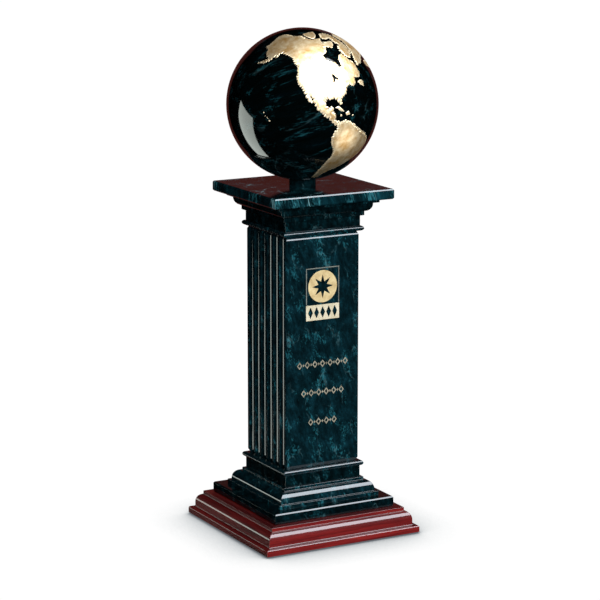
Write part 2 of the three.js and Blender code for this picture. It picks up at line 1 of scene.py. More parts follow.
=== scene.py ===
# %% [markdown]
# # A column trophy
# A gilded marble globe on a round collar stands on a square classical column of dark green
# marble. The column is a stack of square plates, mouldings and beads round a fluted shaft, on a
# moulded base of four mitred, stained and lacquered rails. A threaded rod holds the whole stack
# together. All sizes are metres in the part's own frame: +Z up, the front facing -Y, the felt on
# Z = 0.

import json
import math
import random

import bmesh
import bpy
import numpy as np
from mathutils import Matrix, Vector
from mathutils.geometry import delaunay_2d_cdt

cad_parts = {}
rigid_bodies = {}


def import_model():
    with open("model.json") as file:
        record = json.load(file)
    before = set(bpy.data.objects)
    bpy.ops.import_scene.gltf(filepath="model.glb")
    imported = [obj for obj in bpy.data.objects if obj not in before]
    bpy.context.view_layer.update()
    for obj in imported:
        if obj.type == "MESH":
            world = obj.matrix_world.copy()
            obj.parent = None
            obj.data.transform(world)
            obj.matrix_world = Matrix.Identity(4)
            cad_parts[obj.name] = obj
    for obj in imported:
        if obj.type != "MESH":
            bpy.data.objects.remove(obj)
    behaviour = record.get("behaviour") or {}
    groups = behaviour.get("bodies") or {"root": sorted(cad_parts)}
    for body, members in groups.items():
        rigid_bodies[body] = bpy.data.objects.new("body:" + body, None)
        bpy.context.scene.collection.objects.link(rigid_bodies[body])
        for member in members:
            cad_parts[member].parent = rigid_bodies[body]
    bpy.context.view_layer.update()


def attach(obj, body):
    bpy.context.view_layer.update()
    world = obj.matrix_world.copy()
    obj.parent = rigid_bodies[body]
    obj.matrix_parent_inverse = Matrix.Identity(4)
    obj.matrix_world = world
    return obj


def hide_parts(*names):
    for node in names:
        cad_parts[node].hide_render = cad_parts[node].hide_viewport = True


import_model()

MM = 0.001
scene = bpy.context.scene

# %% [markdown]
# ## Small helpers
# Every material and every shape tree below is a handful of nodes. One function adds a node, sets
# it up and links it; another turns a colour as it is mixed on a screen into the light the
# renderer adds up; the last two start a material and give it its output.

# %% Nodes and colours
def linear(code):
    parts = [int(code[i : i + 2], 16) / 255 for i in (1, 3, 5)]
    return (*[c / 12.92 if c <= 0.04045 else ((c + 0.055) / 1.055) ** 2.4 for c in parts], 1.0)


def add(tree, kind, sockets=None, stops=None, **settings):
    """One node: its settings, a ramp's stops, and its sockets as values or other outputs."""
    node = tree.nodes.new(kind)
    for key, value in settings.items():
        setattr(node, key, value)
    for i, (place, colour) in enumerate(stops or []):
        ramp = node.color_ramp.elements
        stop = ramp[i] if i < len(ramp) else ramp.new(place)
        stop.position = place
        stop.color = linear(colour)
    for key, value in (sockets or {}).items():
        if isinstance(value, bpy.types.Node):
            value = value.outputs[0]
        if isinstance(value, bpy.types.NodeSocket):
            tree.links.new(value, node.inputs[key])
        else:
            node.inputs[key].default_value = value
    return node


def new_material(name):
    material = bpy.data.materials.new(name)
    material.use_nodes = True
    material.node_tree.nodes.clear()
    return material, material.node_tree


def finish_material(tree, sockets):
    shader = add(tree, "ShaderNodeBsdfPrincipled", sockets)
    add(tree, "ShaderNodeOutputMaterial", {"Surface": shader})


# %% [markdown]
# ## Polished green marble
# The stone is a serpentine marble: nearly black green, clouded with teal, scattered with short
# lighter flecks and crossed by a few thin pale veins. It is sawn, ground and polished to a
# mirror, so the eye gets the dark body colour only where nothing bright is reflected. The pattern
# is noise on the object's own coordinates, pushed about by a slower noise so that no fleck runs
# straight, and stretched along the grain of the block each piece was sawn from.

# %% Polished green marble
def polished_marble(name, turn, stretch, size, body_tones, fleck_tone, flecks, veins):
    """turn: which way the grain runs. stretch: how much longer marks are along it than across."""
    material, t = new_material(name)
    place = add(t, "ShaderNodeTexCoord")
    grain = add(
        t,
        "ShaderNodeMapping",
        {"Vector": place.outputs["Object"], "Rotation": turn,
         "Scale": (size * stretch, size, size)},
        vector_type="TEXTURE",
    )
    drift = add(t, "ShaderNodeTexNoise", {"Vector": grain, "Scale": 45, "Detail": 4.0})
    offset = add(
        t, "ShaderNodeVectorMath", {0: drift.outputs["Color"], 1: (0.5, 0.5, 0.5)},
        operation="SUBTRACT",
    )
    pushed = add(t, "ShaderNodeVectorMath", {0: offset, "Scale": 0.007}, operation="SCALE")
    warped = add(t, "ShaderNodeVectorMath", {0: grain, 1: pushed})
    # The body: clouds about 10 mm across, broken up by a mottle down to a tenth of a millimetre.
    body_noise = add(
        t, "ShaderNodeTexNoise",
        {"Vector": warped, "Scale": 110, "Detail": 9.0, "Roughness": 0.78, "Lacunarity": 2.1},
    )
    body = add(
        t, "ShaderNodeValToRGB", {"Fac": body_noise},
        stops=list(zip((0.36, 0.5, 0.62, 0.76), body_tones)),
    )
    # Flecks: 1 to 3 mm, lighter teal, in drifts.
    fleck_noise = add(
        t, "ShaderNodeTexNoise",
        {"Vector": warped, "Scale": 520, "Detail": 4.0, "Roughness": 0.7},
    )
    drifts = add(t, "ShaderNodeTexNoise", {"Vector": warped, "Scale": 90, "Detail": 2.0})
    fleck_level = add(t, "ShaderNodeMath", {0: fleck_noise, 1: drifts}, operation="MULTIPLY")
    fleck = add(
        t, "ShaderNodeMapRange",
        {"Value": fleck_level, "From Min": 0.31, "From Max": 0.41, "To Max": flecks},
    )
    flecked = add(
        t, "ShaderNodeMix",
        {0: fleck.outputs["Result"], 6: body.outputs["Color"], 7: linear(fleck_tone)},
        data_type="RGBA",
    )
    # Veins: thin healed cracks, where a slow noise passes through its middle value.
    vein_noise = add(
        t, "ShaderNodeTexNoise",
        {"Vector": warped, "Scale": 38, "Detail": 5.0, "Roughness": 0.45},
    )
    off_middle = add(t, "ShaderNodeMath", {0: vein_noise, 1: 0.5}, operation="SUBTRACT")
    distance = add(t, "ShaderNodeMath", {0: off_middle}, operation="ABSOLUTE")
    line = add(
        t, "ShaderNodeMapRange",
        {"Value": distance, "From Min": 0.0, "From Max": 0.014, "To Min": 1.0, "To Max": 0.0},
    )
    broken = add(
        t, "ShaderNodeMapRange",
        {"Value": drifts, "From Min": 0.5, "From Max": 0.64, "To Max": veins},
    )
    vein = add(
        t, "ShaderNodeMath",
        {0: line.outputs["Result"], 1: broken.outputs["Result"]},
        operation="MULTIPLY",
    )
    stone = add(
        t, "ShaderNodeMix",
        {0: vein, 6: flecked.outputs[2], 7: linear("#86bfc9")},
        data_type="RGBA",
    )
    polish = add(
        t, "ShaderNodeMapRange",
        {"Value": fleck_noise, "From Min": 0.3, "From Max": 0.75,
         "To Min": 0.045, "To Max": 0.085},
    )
    wave = add(t, "ShaderNodeTexNoise", {"Vector": place.outputs["Object"], "Scale": 60})
    surface = add(
        t, "ShaderNodeBump", {"Height": wave, "Strength": 0.05, "Distance": 0.0004},
    )
    finish_material(t, {
        "Base Color": stone.outputs[2],
        "Roughness": polish.outputs["Result"],
        "IOR": 1.56,
        "Normal": surface,
    })
    return material


COLUMN_GRAIN, GLOBE_GRAIN = (0.0, 1.27, 0.0), (0.0, -0.3, -0.5)
column_marble = polished_marble(
    "polished_column_marble", COLUMN_GRAIN, 2.0, 0.7,
    ("#02090c", "#04151a", "#08242c", "#124752"), "#276f7c", 0.4, 0.08,
)
# Painted shade: the column's stone with darker body tones and fewer flecks, for the plinth slab,
# the necks, the capital moulding under the top slab and the collar.
shaded_column_marble = polished_marble(
    "polished_dark_marble", COLUMN_GRAIN, 1.8, 0.7,
    ("#010405", "#020b0e", "#04191e", "#0b343d"), "#236673", 0.22, 0.08,
)
slab_marble = polished_marble(
    "polished_slab_marble", COLUMN_GRAIN, 5.0, 1.2,
    ("#020b0e", "#04171c", "#092b33", "#144a55"), "#3f8c99", 0.4, 0.75,
)
globe_marble = polished_marble(
    "polished_globe_marble", GLOBE_GRAIN, 9.0, 0.8,
    ("#010202", "#010303", "#010507", "#072128"), "#2a727e", 0.2, 0.04,
)


# %% [markdown]
# ### Honed and unpolished faces
# The fillets between the flutes and the two beads are dressed with the wheel and only honed, so
# they give back a soft grey sheen instead of a mirror image. The great lakes are stood off in the
# leaf and blackened.

# %% Honed stone
def refinished(stone, name, roughness, specular=0.5):
    """The same stone with another finish on its surface."""
    copy = stone.copy()
    copy.name = name
    shader = next(n for n in copy.node_tree.nodes if n.type == "BSDF_PRINCIPLED")
    for link in list(shader.inputs["Roughness"].links):
        copy.node_tree.links.remove(link)
    shader.inputs["Roughness"].default_value = roughness
    shader.inputs["Specular IOR Level"].default_value = specular
    return copy


honed_marble = refinished(column_marble, "honed_fillet_marble", 0.2)
blackened_marble = refinished(globe_marble, "blackened_lakes", 0.8, 0.1)


# %% [markdown]
# ## Gilding
# The map is metal leaf laid on a sunk, slightly grained ground, so its middle gives back a soft,
# broad light. Its thin bright line at the coast is a painted highlight: a vertex attribute called
# rim, one at the coast and nothing inland, mixes the leaf's colour towards a pale cream and takes
# most of its metal away. The fill of the front figures is a paler gold size paint: less metal,
# more body.

# %% Gold leaf and gold paint
def gilding(name, dark, light, metal, rough):
    material, t = new_material(name)
    place = add(t, "ShaderNodeTexCoord")
    rim = add(t, "ShaderNodeAttribute", attribute_name="rim")
    tone = add(
        t, "ShaderNodeTexNoise",
        {"Vector": place.outputs["Object"], "Scale": 160, "Detail": 5.0, "Roughness": 0.6},
    )
    leaf = add(t, "ShaderNodeValToRGB", {"Fac": tone}, stops=[(0.32, dark), (0.66, light)])
    # Painted highlight: towards the coast the leaf's colour is mixed with a pale cream.
    leaf_with_painted_highlight = add(
        t, "ShaderNodeMix",
        {0: rim.outputs["Fac"], 6: leaf.outputs["Color"], 7: linear("#fff0d0")},
        data_type="RGBA",
    )
    grain = add(
        t, "ShaderNodeTexNoise",
        {"Vector": place.outputs["Object"], "Scale": 2600, "Detail": 2.0},
    )
    brushed = add(
        t, "ShaderNodeMapRange",
        {"Value": grain, "From Min": 0.3, "From Max": 0.7,
         "To Min": rough[0], "To Max": rough[1]},
    )
    surface = add(t, "ShaderNodeBump", {"Height": grain, "Strength": 0.25, "Distance": 0.0001})
    # Along the painted highlight the leaf loses most of its metal, so the cream shows as painted.
    metallic = add(
        t, "ShaderNodeMapRange",
        {"Value": rim.outputs["Fac"], "From Max": 1.0, "To Min": metal, "To Max": metal * 0.3},
    )
    finish_material(t, {
        "Base Color": leaf_with_painted_highlight.outputs[2],
        "Metallic": metallic.outputs["Result"],
        "Roughness": brushed.outputs["Result"],
        "Normal": surface,
    })
    return material


LEAF_METAL, PAINT_METAL = 0.93, 0.3
gold_leaf = gilding("gold_leaf_on_the_globe", "#c59a5c", "#f0ddb6", LEAF_METAL, (0.42, 0.5))
gold_fill = gilding("pale_gold_fill_on_the_medal", "#ae976a", "#cdbb8e", PAINT_METAL, (0.45, 0.6))
bar_fill = gilding("cream_gold_fill_on_the_bar", "#b5ab8e", "#cac2ab", PAINT_METAL, (0.45, 0.6))
line_fill = gilding(
    "dim_gold_fill_of_the_frame_line", "#4f524c", "#757870", PAINT_METAL, (0.5, 0.6),
)
rule_fill = gilding("dull_gold_fill_on_the_rules", "#706c5d", "#918c7b", PAINT_METAL, (0.5, 0.6))


# %% [markdown]
# ## Stained and lacquered rails
# The base is a close-grained hardwood stained mahogany red, with clear lacquer rubbed to a gloss.
# Two things reach the eye: the streaky stain below, darker in the pores that run along each rail,
# and the hard white reflection off the clear coat on top. The same recipe is used twice, since
# the front and back rails run along X and the side rails along Y.

# %% Stained wood, board, felt and metals
def stained_wood(name, along):
    material, t = new_material(name)
    place = add(t, "ShaderNodeTexCoord")
    run = [1.0, 1.0, 1.0]
    run[along] = 0.045
    grain = add(t, "ShaderNodeMapping", {"Vector": place.outputs["Object"], "Scale": run})
    figure = add(
        t, "ShaderNodeTexNoise",
        {"Vector": grain, "Scale": 210, "Detail": 6.0, "Roughness": 0.65, "Distortion": 0.6},
    )
    stain = add(
        t, "ShaderNodeValToRGB", {"Fac": figure},
        stops=[(0.28, "#330708"), (0.47, "#540d0e"), (0.6, "#661413"), (0.78, "#80281e")],
    )
    pores = add(t, "ShaderNodeTexNoise", {"Vector": grain, "Scale": 1500, "Detail": 2.0})
    pore = add(
        t, "ShaderNodeMapRange",
        {"Value": pores, "From Min": 0.56, "From Max": 0.68, "To Max": 0.55},
    )
    wood = add(
        t, "ShaderNodeMix",
        {0: pore.outputs["Result"], 6: stain.outputs["Color"], 7: linear("#2b0809")},
        data_type="RGBA",
    )
    surface = add(
        t, "ShaderNodeBump",
        {"Height": pores, "Strength": 0.12, "Distance": 0.0002}, invert=True,
    )
    finish_material(t, {
        "Base Color": wood.outputs[2],
        "Roughness": 0.5,
        "Specular IOR Level": 0.12,
        "Normal": surface,
        "Coat Weight": 1.0,
        "Coat Roughness": 0.06,
        "Coat IOR": 1.5,
    })
    return material


def grained(name, dark, light, scale, metal, rough, bump, sheen=0.0, stretch=(1, 1, 1)):
    material, t = new_material(name)
    place = add(t, "ShaderNodeTexCoord")
    run = add(t, "ShaderNodeMapping", {"Vector": place.outputs["Object"], "Scale": stretch})
    noise = add(t, "ShaderNodeTexNoise", {"Vector": run, "Scale": scale, "Detail": 5.0})
    tone = add(t, "ShaderNodeValToRGB", {"Fac": noise}, stops=[(0.35, dark), (0.65, light)])
    level = add(
        t, "ShaderNodeMapRange",
        {"Value": noise, "From Min": 0.3, "From Max": 0.7,
         "To Min": rough[0], "To Max": rough[1]},
    )
    surface = add(t, "ShaderNodeBump", {"Height": noise, "Strength": 0.4, "Distance": bump})
    finish_material(t, {
        "Base Color": tone.outputs["Color"],
        "Metallic": metal,
        "Roughness": level.outputs["Result"],
        "Sheen Weight": sheen,
        "Normal": surface,
    })
    return material


wood_along_x = stained_wood("lacquered_stained_wood_front_and_back", 0)
wood_along_y = stained_wood("lacquered_stained_wood_sides", 1)
core_board = grained(
    "fibre_core_board", "#6f5234", "#96744d", 900, 0.0, (0.75, 0.9), 0.0002,
)
green_felt = grained(
    "pressed_green_felt", "#12281c", "#24483a", 1800, 0.0, (0.9, 1.0), 0.0004, sheen=0.5,
)
zinc_steel = grained(
    "zinc_plated_steel", "#9fa3a8", "#c9ccd0", 700, 1.0, (0.28, 0.42), 0.00005,
    stretch=(1, 1, 0.2),
)
turned_brass = grained(
    "turned_brass", "#a67c33", "#cba24f", 800, 1.0, (0.25, 0.4), 0.00005, stretch=(0.2, 0.2, 3),
)


# %% [markdown]
# ## Making a piece from a shape tree
# A shape tree is a small Geometry Nodes program with named inputs. A piece is made by running the
# tree on an empty mesh, rounding its arrises a little with a bevel, and keeping the mesh that
# comes out. Polished stone never has a knife edge: it is the rounding that draws each thin line
# of light.

# %% Shape trees
def shape_tree(name, inputs):
    """A tree with the given inputs. Returns the tree and the node its inputs come out of."""
    tree = bpy.data.node_groups.new(name, "GeometryNodeTree")
    for label, kind in inputs.items():
        tree.interface.new_socket(label, in_out="INPUT", socket_type="NodeSocket" + kind)
    tree.interface.new_socket("Geometry", in_out="OUTPUT", socket_type="NodeSocketGeometry")
    return tree, tree.nodes.new("NodeGroupInput")


def end_tree(tree, given, geometry):
    real = add(tree, "GeometryNodeRealizeInstances", {"Geometry": geometry})
    clad = add(
        tree, "GeometryNodeSetMaterial",
        {"Geometry": real, "Material": given.outputs["Material"]},
    )
    add(tree, "NodeGroupOutput", {"Geometry": clad})


def keep_mesh(piece, name):
    """Replaces a piece's modifiers by the mesh they make."""
    depsgraph = bpy.context.evaluated_depsgraph_get()
    mesh = bpy.data.meshes.new_from_object(piece.evaluated_get(depsgraph))
    mesh.name = name
    piece.modifiers.clear()
    piece.data = mesh
    return mesh


def new_object(name, data):
    made = bpy.data.objects.new(name, data)
    scene.collection.objects.link(made)
    return made


def outline_curve(name, points):
    """A closed outline, for a tree to carry along a path."""
    curve = bpy.data.curves.new(name, "CURVE")
    curve.dimensions = "3D"
    line = curve.splines.new("POLY")
    line.points.add(len(points) - 1)
    for spot, p in zip(line.points, points):
        spot.co = (*p, 0.0, 1.0)
    line.use_cyclic_u = True
    return new_object(name, curve)


def face_outwards(mesh):
    work = bmesh.new()
    work.from_mesh(mesh)
    bmesh.ops.remove_doubles(work, verts=work.verts, dist=1e-7)
    bmesh.ops.recalc_face_normals(work, faces=work.faces)
    if work.calc_volume(signed=True) < 0:
        bmesh.ops.reverse_faces(work, faces=work.faces)
    work.to_mesh(mesh)
    work.free()


FACET_ANGLE = math.radians(30)  # anything sharper is an arris


def round_arrises(piece, width, segments=3, clamp=False):
    rounding = piece.modifiers.new("arris", "BEVEL")
    rounding.width = width
    rounding.segments = segments
    rounding.limit_method = "ANGLE"
    rounding.angle_limit = FACET_ANGLE
    rounding.harden_normals = True
    rounding.use_clamp_overlap = clamp
    keep_mesh(piece, piece.name)


def from_tree(name, tree, values, arris=0.0):
    """The mesh piece a tree makes with these inputs, its arrises rounded."""
    piece = new_object(name, bpy.data.meshes.new(name))
    shape = piece.modifiers.new("shape", "NODES")
    shape.node_group = tree
    sockets = {s.name: s.identifier for s in tree.interface.items_tree if s.in_out == "INPUT"}
    for label, value in values.items():
        shape[sockets[label]] = value
    face_outwards(keep_mesh(piece, name))
    piece.data.shade_smooth()
    piece.data.set_sharp_from_angle(angle=FACET_ANGLE)
    if arris:
        round_arrises(piece, arris)
    return piece


def settle(piece, node):
    """Puts a finished piece in the frame: on its body, in place of the node it stands for, which
    is hidden.
    """
    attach(piece, "root")
    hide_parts(node)
    print(f"{piece.name}: {len(piece.data.polygons)} faces")


# %% [markdown]
# ## Square plates, mouldings and beads
# On the bench each of these is a square block with one section run round its four edges. The tree
# does the same: it carries a section round a four-cornered path. A corner is met on the mitre, so
# the section is widened by the square root of two before it is carried round. The same tree with
# a round path turns the collar on a lathe.

# %% The tree that runs a section round
CORE = 4.8 * MM  # half the bore that the threaded rod passes through

run_round, given = shape_tree("section_run_round", {
    "Section": "Object", "Sides": "Int", "Turn": "Float", "Material": "Material",
})
path = add(
    run_round, "GeometryNodeCurvePrimitiveCircle",
    {"Resolution": given.outputs["Sides"], "Radius": CORE},
)
turn = add(run_round, "ShaderNodeCombineXYZ", {"Z": given.outputs["Turn"]})
turned_path = add(
    run_round, "GeometryNodeTransform", {"Geometry": path, "Rotation": turn.outputs[0]},
)
upright = add(run_round, "GeometryNodeSetCurveNormal", {"Curve": turned_path}, mode="Z_UP")
section_in = add(run_round, "GeometryNodeObjectInfo", {"Object": given.outputs["Section"]})
carried = add(
    run_round, "GeometryNodeCurveToMesh",
    {"Curve": upright, "Profile Curve": section_in.outputs["Geometry"]},
)
end_tree(run_round, given, carried)


def arc(cx, cz, rx, rz, start, end, steps):
    """Points of an elliptical arc from just after the start angle to the end angle, in degrees."""
    turns = [math.radians(start + (end - start) * (i + 1) / steps) for i in range(steps)]
    return [(cx + rx * math.cos(a), cz + rz * math.sin(a)) for a in turns]


def run_section(name, node, outer, material, sides=4, arris=0.3):
    """outer: [half width, height] in mm, from the bottom inner edge to the top inner edge."""
    square = sides == 4
    widen = math.sqrt(2) if square else 1.0
    inner = CORE / MM
    section = [(inner, outer[0][1]), *outer, (inner, outer[-1][1])]
    points = [(x * MM * widen - CORE, -z * MM) for x, z in section]
    curve = outline_curve(name + "_section", points)
    piece = from_tree(
        name, run_round,
        {"Section": curve, "Sides": sides, "Turn": math.radians(45) if square else 0.0,
         "Material": material},
        arris * MM,
    )
    bpy.data.objects.remove(curve)
    settle(piece, node)


# %% [markdown]
# ### The base of the column
# From the bottom: the sawn plinth slab with its polished edge, the moulding (a flat fillet, a
# step and a quarter round), a plain neck block, and a half-round bead.

# %% Base of the column
WOOD_TOP, PLINTH_TOP, MOULDING_TOP, NECK_TOP, BEAD = 22.6, 31.9, 47.8, 58.0, 4.6
PLATE_CHAMFER, PLATE_ARRIS = 0.9, 0.12
CHAMFER_PITCH = 1.19  # the wheel leaves the chamfers a little steeper than half a right angle


def sawn_edge(half, bottom, top):
    inset, rise = half - PLATE_CHAMFER, PLATE_CHAMFER * CHAMFER_PITCH
    return [(inset, bottom), (half, bottom + rise), (half, top - rise), (inset, top)]


def half_round(inner, reach, bottom):
    mid = bottom + BEAD / 2
    return [(inner, bottom), *arc(inner, mid, reach - inner, BEAD / 2, -90, 90, 18)]


run_section(
    "sawn_plinth_slab", "plinth_slab", sawn_edge(59.2, WOOD_TOP, PLINTH_TOP), shaded_column_marble,
    arris=PLATE_ARRIS,
)
run_section("base_quarter_round", "base_moulding", [
    (49.6, PLINTH_TOP), (49.6, 35.7), (47.0, 35.7), (47.0, 37.2),
    *arc(40.4, 37.2, 6.6, 8.0, 0, 90, 12), (39.8, 45.2), (39.8, MOULDING_TOP),
], column_marble)
run_section("base_neck", "base_neck_block", [(37.3, MOULDING_TOP), (37.3, NECK_TOP)], shaded_column_marble)
run_section(
    "bead_under_the_shaft", "base_bead", half_round(37.3, 39.85, NECK_TOP), honed_marble,
)

# %% [markdown]
# ### The capital
# The same run of shapes upside down: bead, neck, a fillet, a quarter round that swells outwards,
# a wider fillet, and the sawn slab that the globe's collar stands on.

# %% Capital
SHAFT_TOP, CAPITAL_NECK_TOP, CAPITAL_TOP, SLAB_TOP = 268.7, 282.4, 297.8, 306.7
GLOBE_RADIUS, GLOBE_CENTRE, SEAT_RADIUS = 65.9, 377.1, 11.4
SEAT = GLOBE_CENTRE - math.sqrt(GLOBE_RADIUS**2 - SEAT_RADIUS**2)

run_section(
    "bead_over_the_shaft", "capital_bead", half_round(36.4, 39.5, SHAFT_TOP), honed_marble,
)
run_section(
    "capital_neck", "capital_neck_block",
    [(36.8, SHAFT_TOP + BEAD), (36.8, CAPITAL_NECK_TOP)], shaded_column_marble,
)
run_section("capital_quarter_round", "capital_moulding", [
    (39.5, CAPITAL_NECK_TOP), (39.5, 286.2), *arc(39.5, 292.8, 5.5, 6.6, -90, 0, 12),
    (45.0, 294.3), (49.1, 294.3), (49.1, CAPITAL_TOP),
], shaded_column_marble)
run_section(
    "sawn_top_slab", "top_slab", sawn_edge(58.2, CAPITAL_TOP, SLAB_TOP), slab_marble,
    arris=PLATE_ARRIS,
)
run_section(
    "turned_collar", "globe_collar",
    [(11.7, SLAB_TOP), (11.7, SEAT - 0.3), (SEAT_RADIUS, SEAT)], shaded_column_marble,
    sides=96, arris=0.03,
)

# %% [markdown]
# ## The shaft
# The two sides are fluted from end to end: six round-bottomed channels cut with a ball-nosed
# wheel, with seven narrow fillets left between them, each dressed with a slight fall towards the
# front. The plan is drawn once as an outline and carried up a line whose ends are drawn in, which
# gives the chamfer.

# %% The tree that carries the plan up
SHAFT_HALF, SHAFT_BOTTOM, ARRIS = 36.4, NECK_TOP + BEAD, 0.8
CHAMFER, CHAMFER_HEIGHT = 1.6, 3.0
FLUTES, FLUTE_WIDTH, FLUTE_DEPTH = 6, 7.3, 2.4
FILLET_FALL, FILLET_STEPS = 0.5, 8
FILLET = (2 * SHAFT_HALF - FLUTES * FLUTE_WIDTH) / (FLUTES + 1)

carry_up, given = shape_tree("plan_carried_up", {
    "Plan": "Object", "Bottom": "Float", "Top": "Float", "Chamfer": "Float",
    "Chamfer Height": "Float", "Half": "Float", "Material": "Material",
})
low = add(carry_up, "ShaderNodeCombineXYZ", {"Z": given.outputs["Bottom"]})
high = add(carry_up, "ShaderNodeCombineXYZ", {"Z": given.outputs["Top"]})
rise = add(carry_up, "GeometryNodeCurvePrimitiveLine", {"Start": low, "End": high})
path = add(carry_up, "GeometryNodeResampleCurve", {"Curve": rise, "Count": 4})
index = add(carry_up, "GeometryNodeInputIndex")
inner_points = []
for end, number, towards in (("Bottom", 1, "ADD"), ("Top", 2, "SUBTRACT")):
    level = add(
        carry_up, "ShaderNodeMath",
        {0: given.outputs[end], 1: given.outputs["Chamfer Height"]}, operation=towards,
    )
    level_at = add(carry_up, "ShaderNodeCombineXYZ", {"Z": level})
    is_inner = add(
        carry_up, "FunctionNodeCompare", {2: index, 3: number},
        data_type="INT", operation="EQUAL",
    )
    path = add(
        carry_up, "GeometryNodeSetPosition",
        {"Geometry": path, "Selection": is_inner, "Position": level_at},
    )
    inner_points.append(is_inner)
full = add(carry_up, "FunctionNodeBooleanMath", dict(enumerate(inner_points)), operation="OR")
shrunk = add(
    carry_up, "ShaderNodeMath",
    {0: given.outputs["Half"], 1: given.outputs["Chamfer"]}, operation="SUBTRACT",
)
end_scale = add(
    carry_up, "ShaderNodeMath", {0: shrunk, 1: given.outputs["Half"]}, operation="DIVIDE",
)
scale_here = add(
    carry_up, "GeometryNodeSwitch", {"Switch": full, "False": end_scale, "True": 1.0},
    input_type="FLOAT",
)
plan_in = add(carry_up, "GeometryNodeObjectInfo", {"Object": given.outputs["Plan"]})
column = add(
    carry_up, "GeometryNodeCurveToMesh",
    {"Curve": path, "Profile Curve": plan_in.outputs["Geometry"], "Scale": scale_here,
     "Fill Caps": True},
)
end_tree(carry_up, given, column)


# %% The shaft's plan
def fluted_side():
    """The right-hand side from front to back, as [x, y] in mm."""
    radius = (FLUTE_WIDTH**2 / 4 + FLUTE_DEPTH**2) / (2 * FLUTE_DEPTH)
    opening = math.degrees(math.asin(FLUTE_WIDTH / 2 / radius))
    centre = SHAFT_HALF + radius - FLUTE_DEPTH
    side = []
    for i in range(FLUTES + 1):
        start = -SHAFT_HALF + i * (FILLET + FLUTE_WIDTH)
        for k in range(FILLET_STEPS + 1):
            across = k / FILLET_STEPS
            if (i == 0 and across < 0.2) or (i == FLUTES and across > 0.8):
                continue
            side.append((SHAFT_HALF - FILLET_FALL * (1 - across), start + FILLET * across))
        if i < FLUTES:
            y = start + FILLET + FLUTE_WIDTH / 2
            hollow = arc(centre, y, radius, radius, 180 + opening, 180 - opening, 14)
            side += [p for p in hollow[:-1] if p[0] < SHAFT_HALF - FILLET_FALL]
    return side


right_side = fluted_side()
plan = [(-SHAFT_HALF + ARRIS, -SHAFT_HALF), (SHAFT_HALF - ARRIS, -SHAFT_HALF), *right_side]
plan += [(SHAFT_HALF - ARRIS, SHAFT_HALF), (-SHAFT_HALF + ARRIS, SHAFT_HALF)]
plan += [(-x, -y) for x, y in right_side]
plan_curve = outline_curve("shaft_plan", [(x * MM, y * MM) for x, y in plan])
shaft = from_tree(
    "fluted_shaft", carry_up,
    {"Plan": plan_curve, "Bottom": SHAFT_BOTTOM * MM, "Top": SHAFT_TOP * MM,
     "Chamfer": CHAMFER * MM, "Chamfer Height": CHAMFER_HEIGHT * MM,
     "Half": SHAFT_HALF * MM, "Material": column_marble},
)
bpy.data.objects.remove(plan_curve)

# %% [markdown]
# ## The figures on the front
# Each figure is cut a little way into the polished face and filled with pale gold, level with it
# or a hair below. Figures are flat outlines, so one function makes both the cutter that sinks the
# pocket and the fill that lies in it, a little smaller all round.

# %% Flat figures
POCKET, FILL, SIDE_GAP, STAND_OUT = 0.5, 0.38, 0.08, 1.0
# Depths of back and face below the polished front, and the gap left all round, in mm.
AS_CUTTER, AS_FILL = (POCKET, -STAND_OUT, 0.0), (POCKET, POCKET - FILL, SIDE_GAP)


def shifted(points, by):
    """A closed outline with every side moved outwards by a distance (inwards if negative)."""
    ring = [Vector(p) for p in points]
    turn_way = sum(a.x * b.y - b.x * a.y for a, b in zip(ring, ring[1:] + ring[:1]))
    if turn_way < 0:
        ring.reverse()
    out = []
    for before, here, after in zip(ring[-1:] + ring[:-1], ring, ring[1:] + ring[:1]):
        one, two = (here - before).normalized(), (after - here).normalized()
        side = Vector((one.y + two.y, -one.x - two.x)).normalized()
        out.append(here + side * (by / max(0.45, side.dot(Vector((one.y, -one.x))))))
    return out


def slab_of(outline, holes, back, face, gap):
    """A closed solid of an x, z outline with holes, between two depths from the front face."""
    rings = [shifted(outline, -gap)] + [shifted(h, gap) for h in holes]
    points, edges = [], []
    for ring in rings:
        first = len(points)
        points += ring
        edges += [(first + i, first + (i + 1) % len(ring)) for i in range(len(ring))]
    flat, _, faces, *_ = delaunay_2d_cdt(points, edges, [], 2, 1e-6)
    inside = [f for f in faces if not any(
        within(sum((flat[i] for i in f), Vector((0, 0))) / 3, ring) for ring in rings[1:]
    )]
    n = len(flat)
    verts = [(p.x * MM, (-SHAFT_HALF + back) * MM, p.y * MM) for p in flat]
    verts += [(p.x * MM, (-SHAFT_HALF + face) * MM, p.y * MM) for p in flat]
    solid = [tuple(f) for f in inside] + [tuple(i + n for i in reversed(f)) for f in inside]
    sides = dict.fromkeys((a, b) for f in inside for a, b in zip(f, f[1:] + f[:1]))
    solid += [(a, a + n, b + n, b) for a, b in sides if (b, a) not in sides]
    return verts, solid


def within(p, ring):
    odd = False
    for a, b in zip(ring, ring[1:] + ring[:1]):
        if (a.y > p.y) != (b.y > p.y) and p.x < (b.x - a.x) * (p.y - a.y) / (b.y - a.y) + a.x:
            odd = not odd
    return odd


def figure_mesh(name, pieces, back, face, gap):
    """The solids of a figure's pieces joined in one mesh."""
    verts, faces = [], []
    for outline, holes in pieces:
        v, f = slab_of(outline, holes, back, face, gap)
        faces += [tuple(i + len(verts) for i in one) for one in f]
        verts += v
    mesh = bpy.data.meshes.new(name)
    mesh.from_pydata(verts, [], faces)
    face_outwards(mesh)
    return mesh


def rectangle(x0, z0, x1, z1):
    return [(x0, z0), (x1, z0), (x1, z1), (x0, z1)]


def lozenge(x, z, half_wide, half_high):
    return [(x - half_wide, z), (x, z - half_high), (x + half_wide, z), (x, z + half_high)]


def star(z, points, outer, inner):
    turns = [math.pi / 2 + i * math.pi / points for i in range(2 * points)]
    reach = [inner if i % 2 else outer for i in range(2 * points)]
    return [(r * math.cos(a), z + r * math.sin(a)) for r, a in zip(reach, turns)]


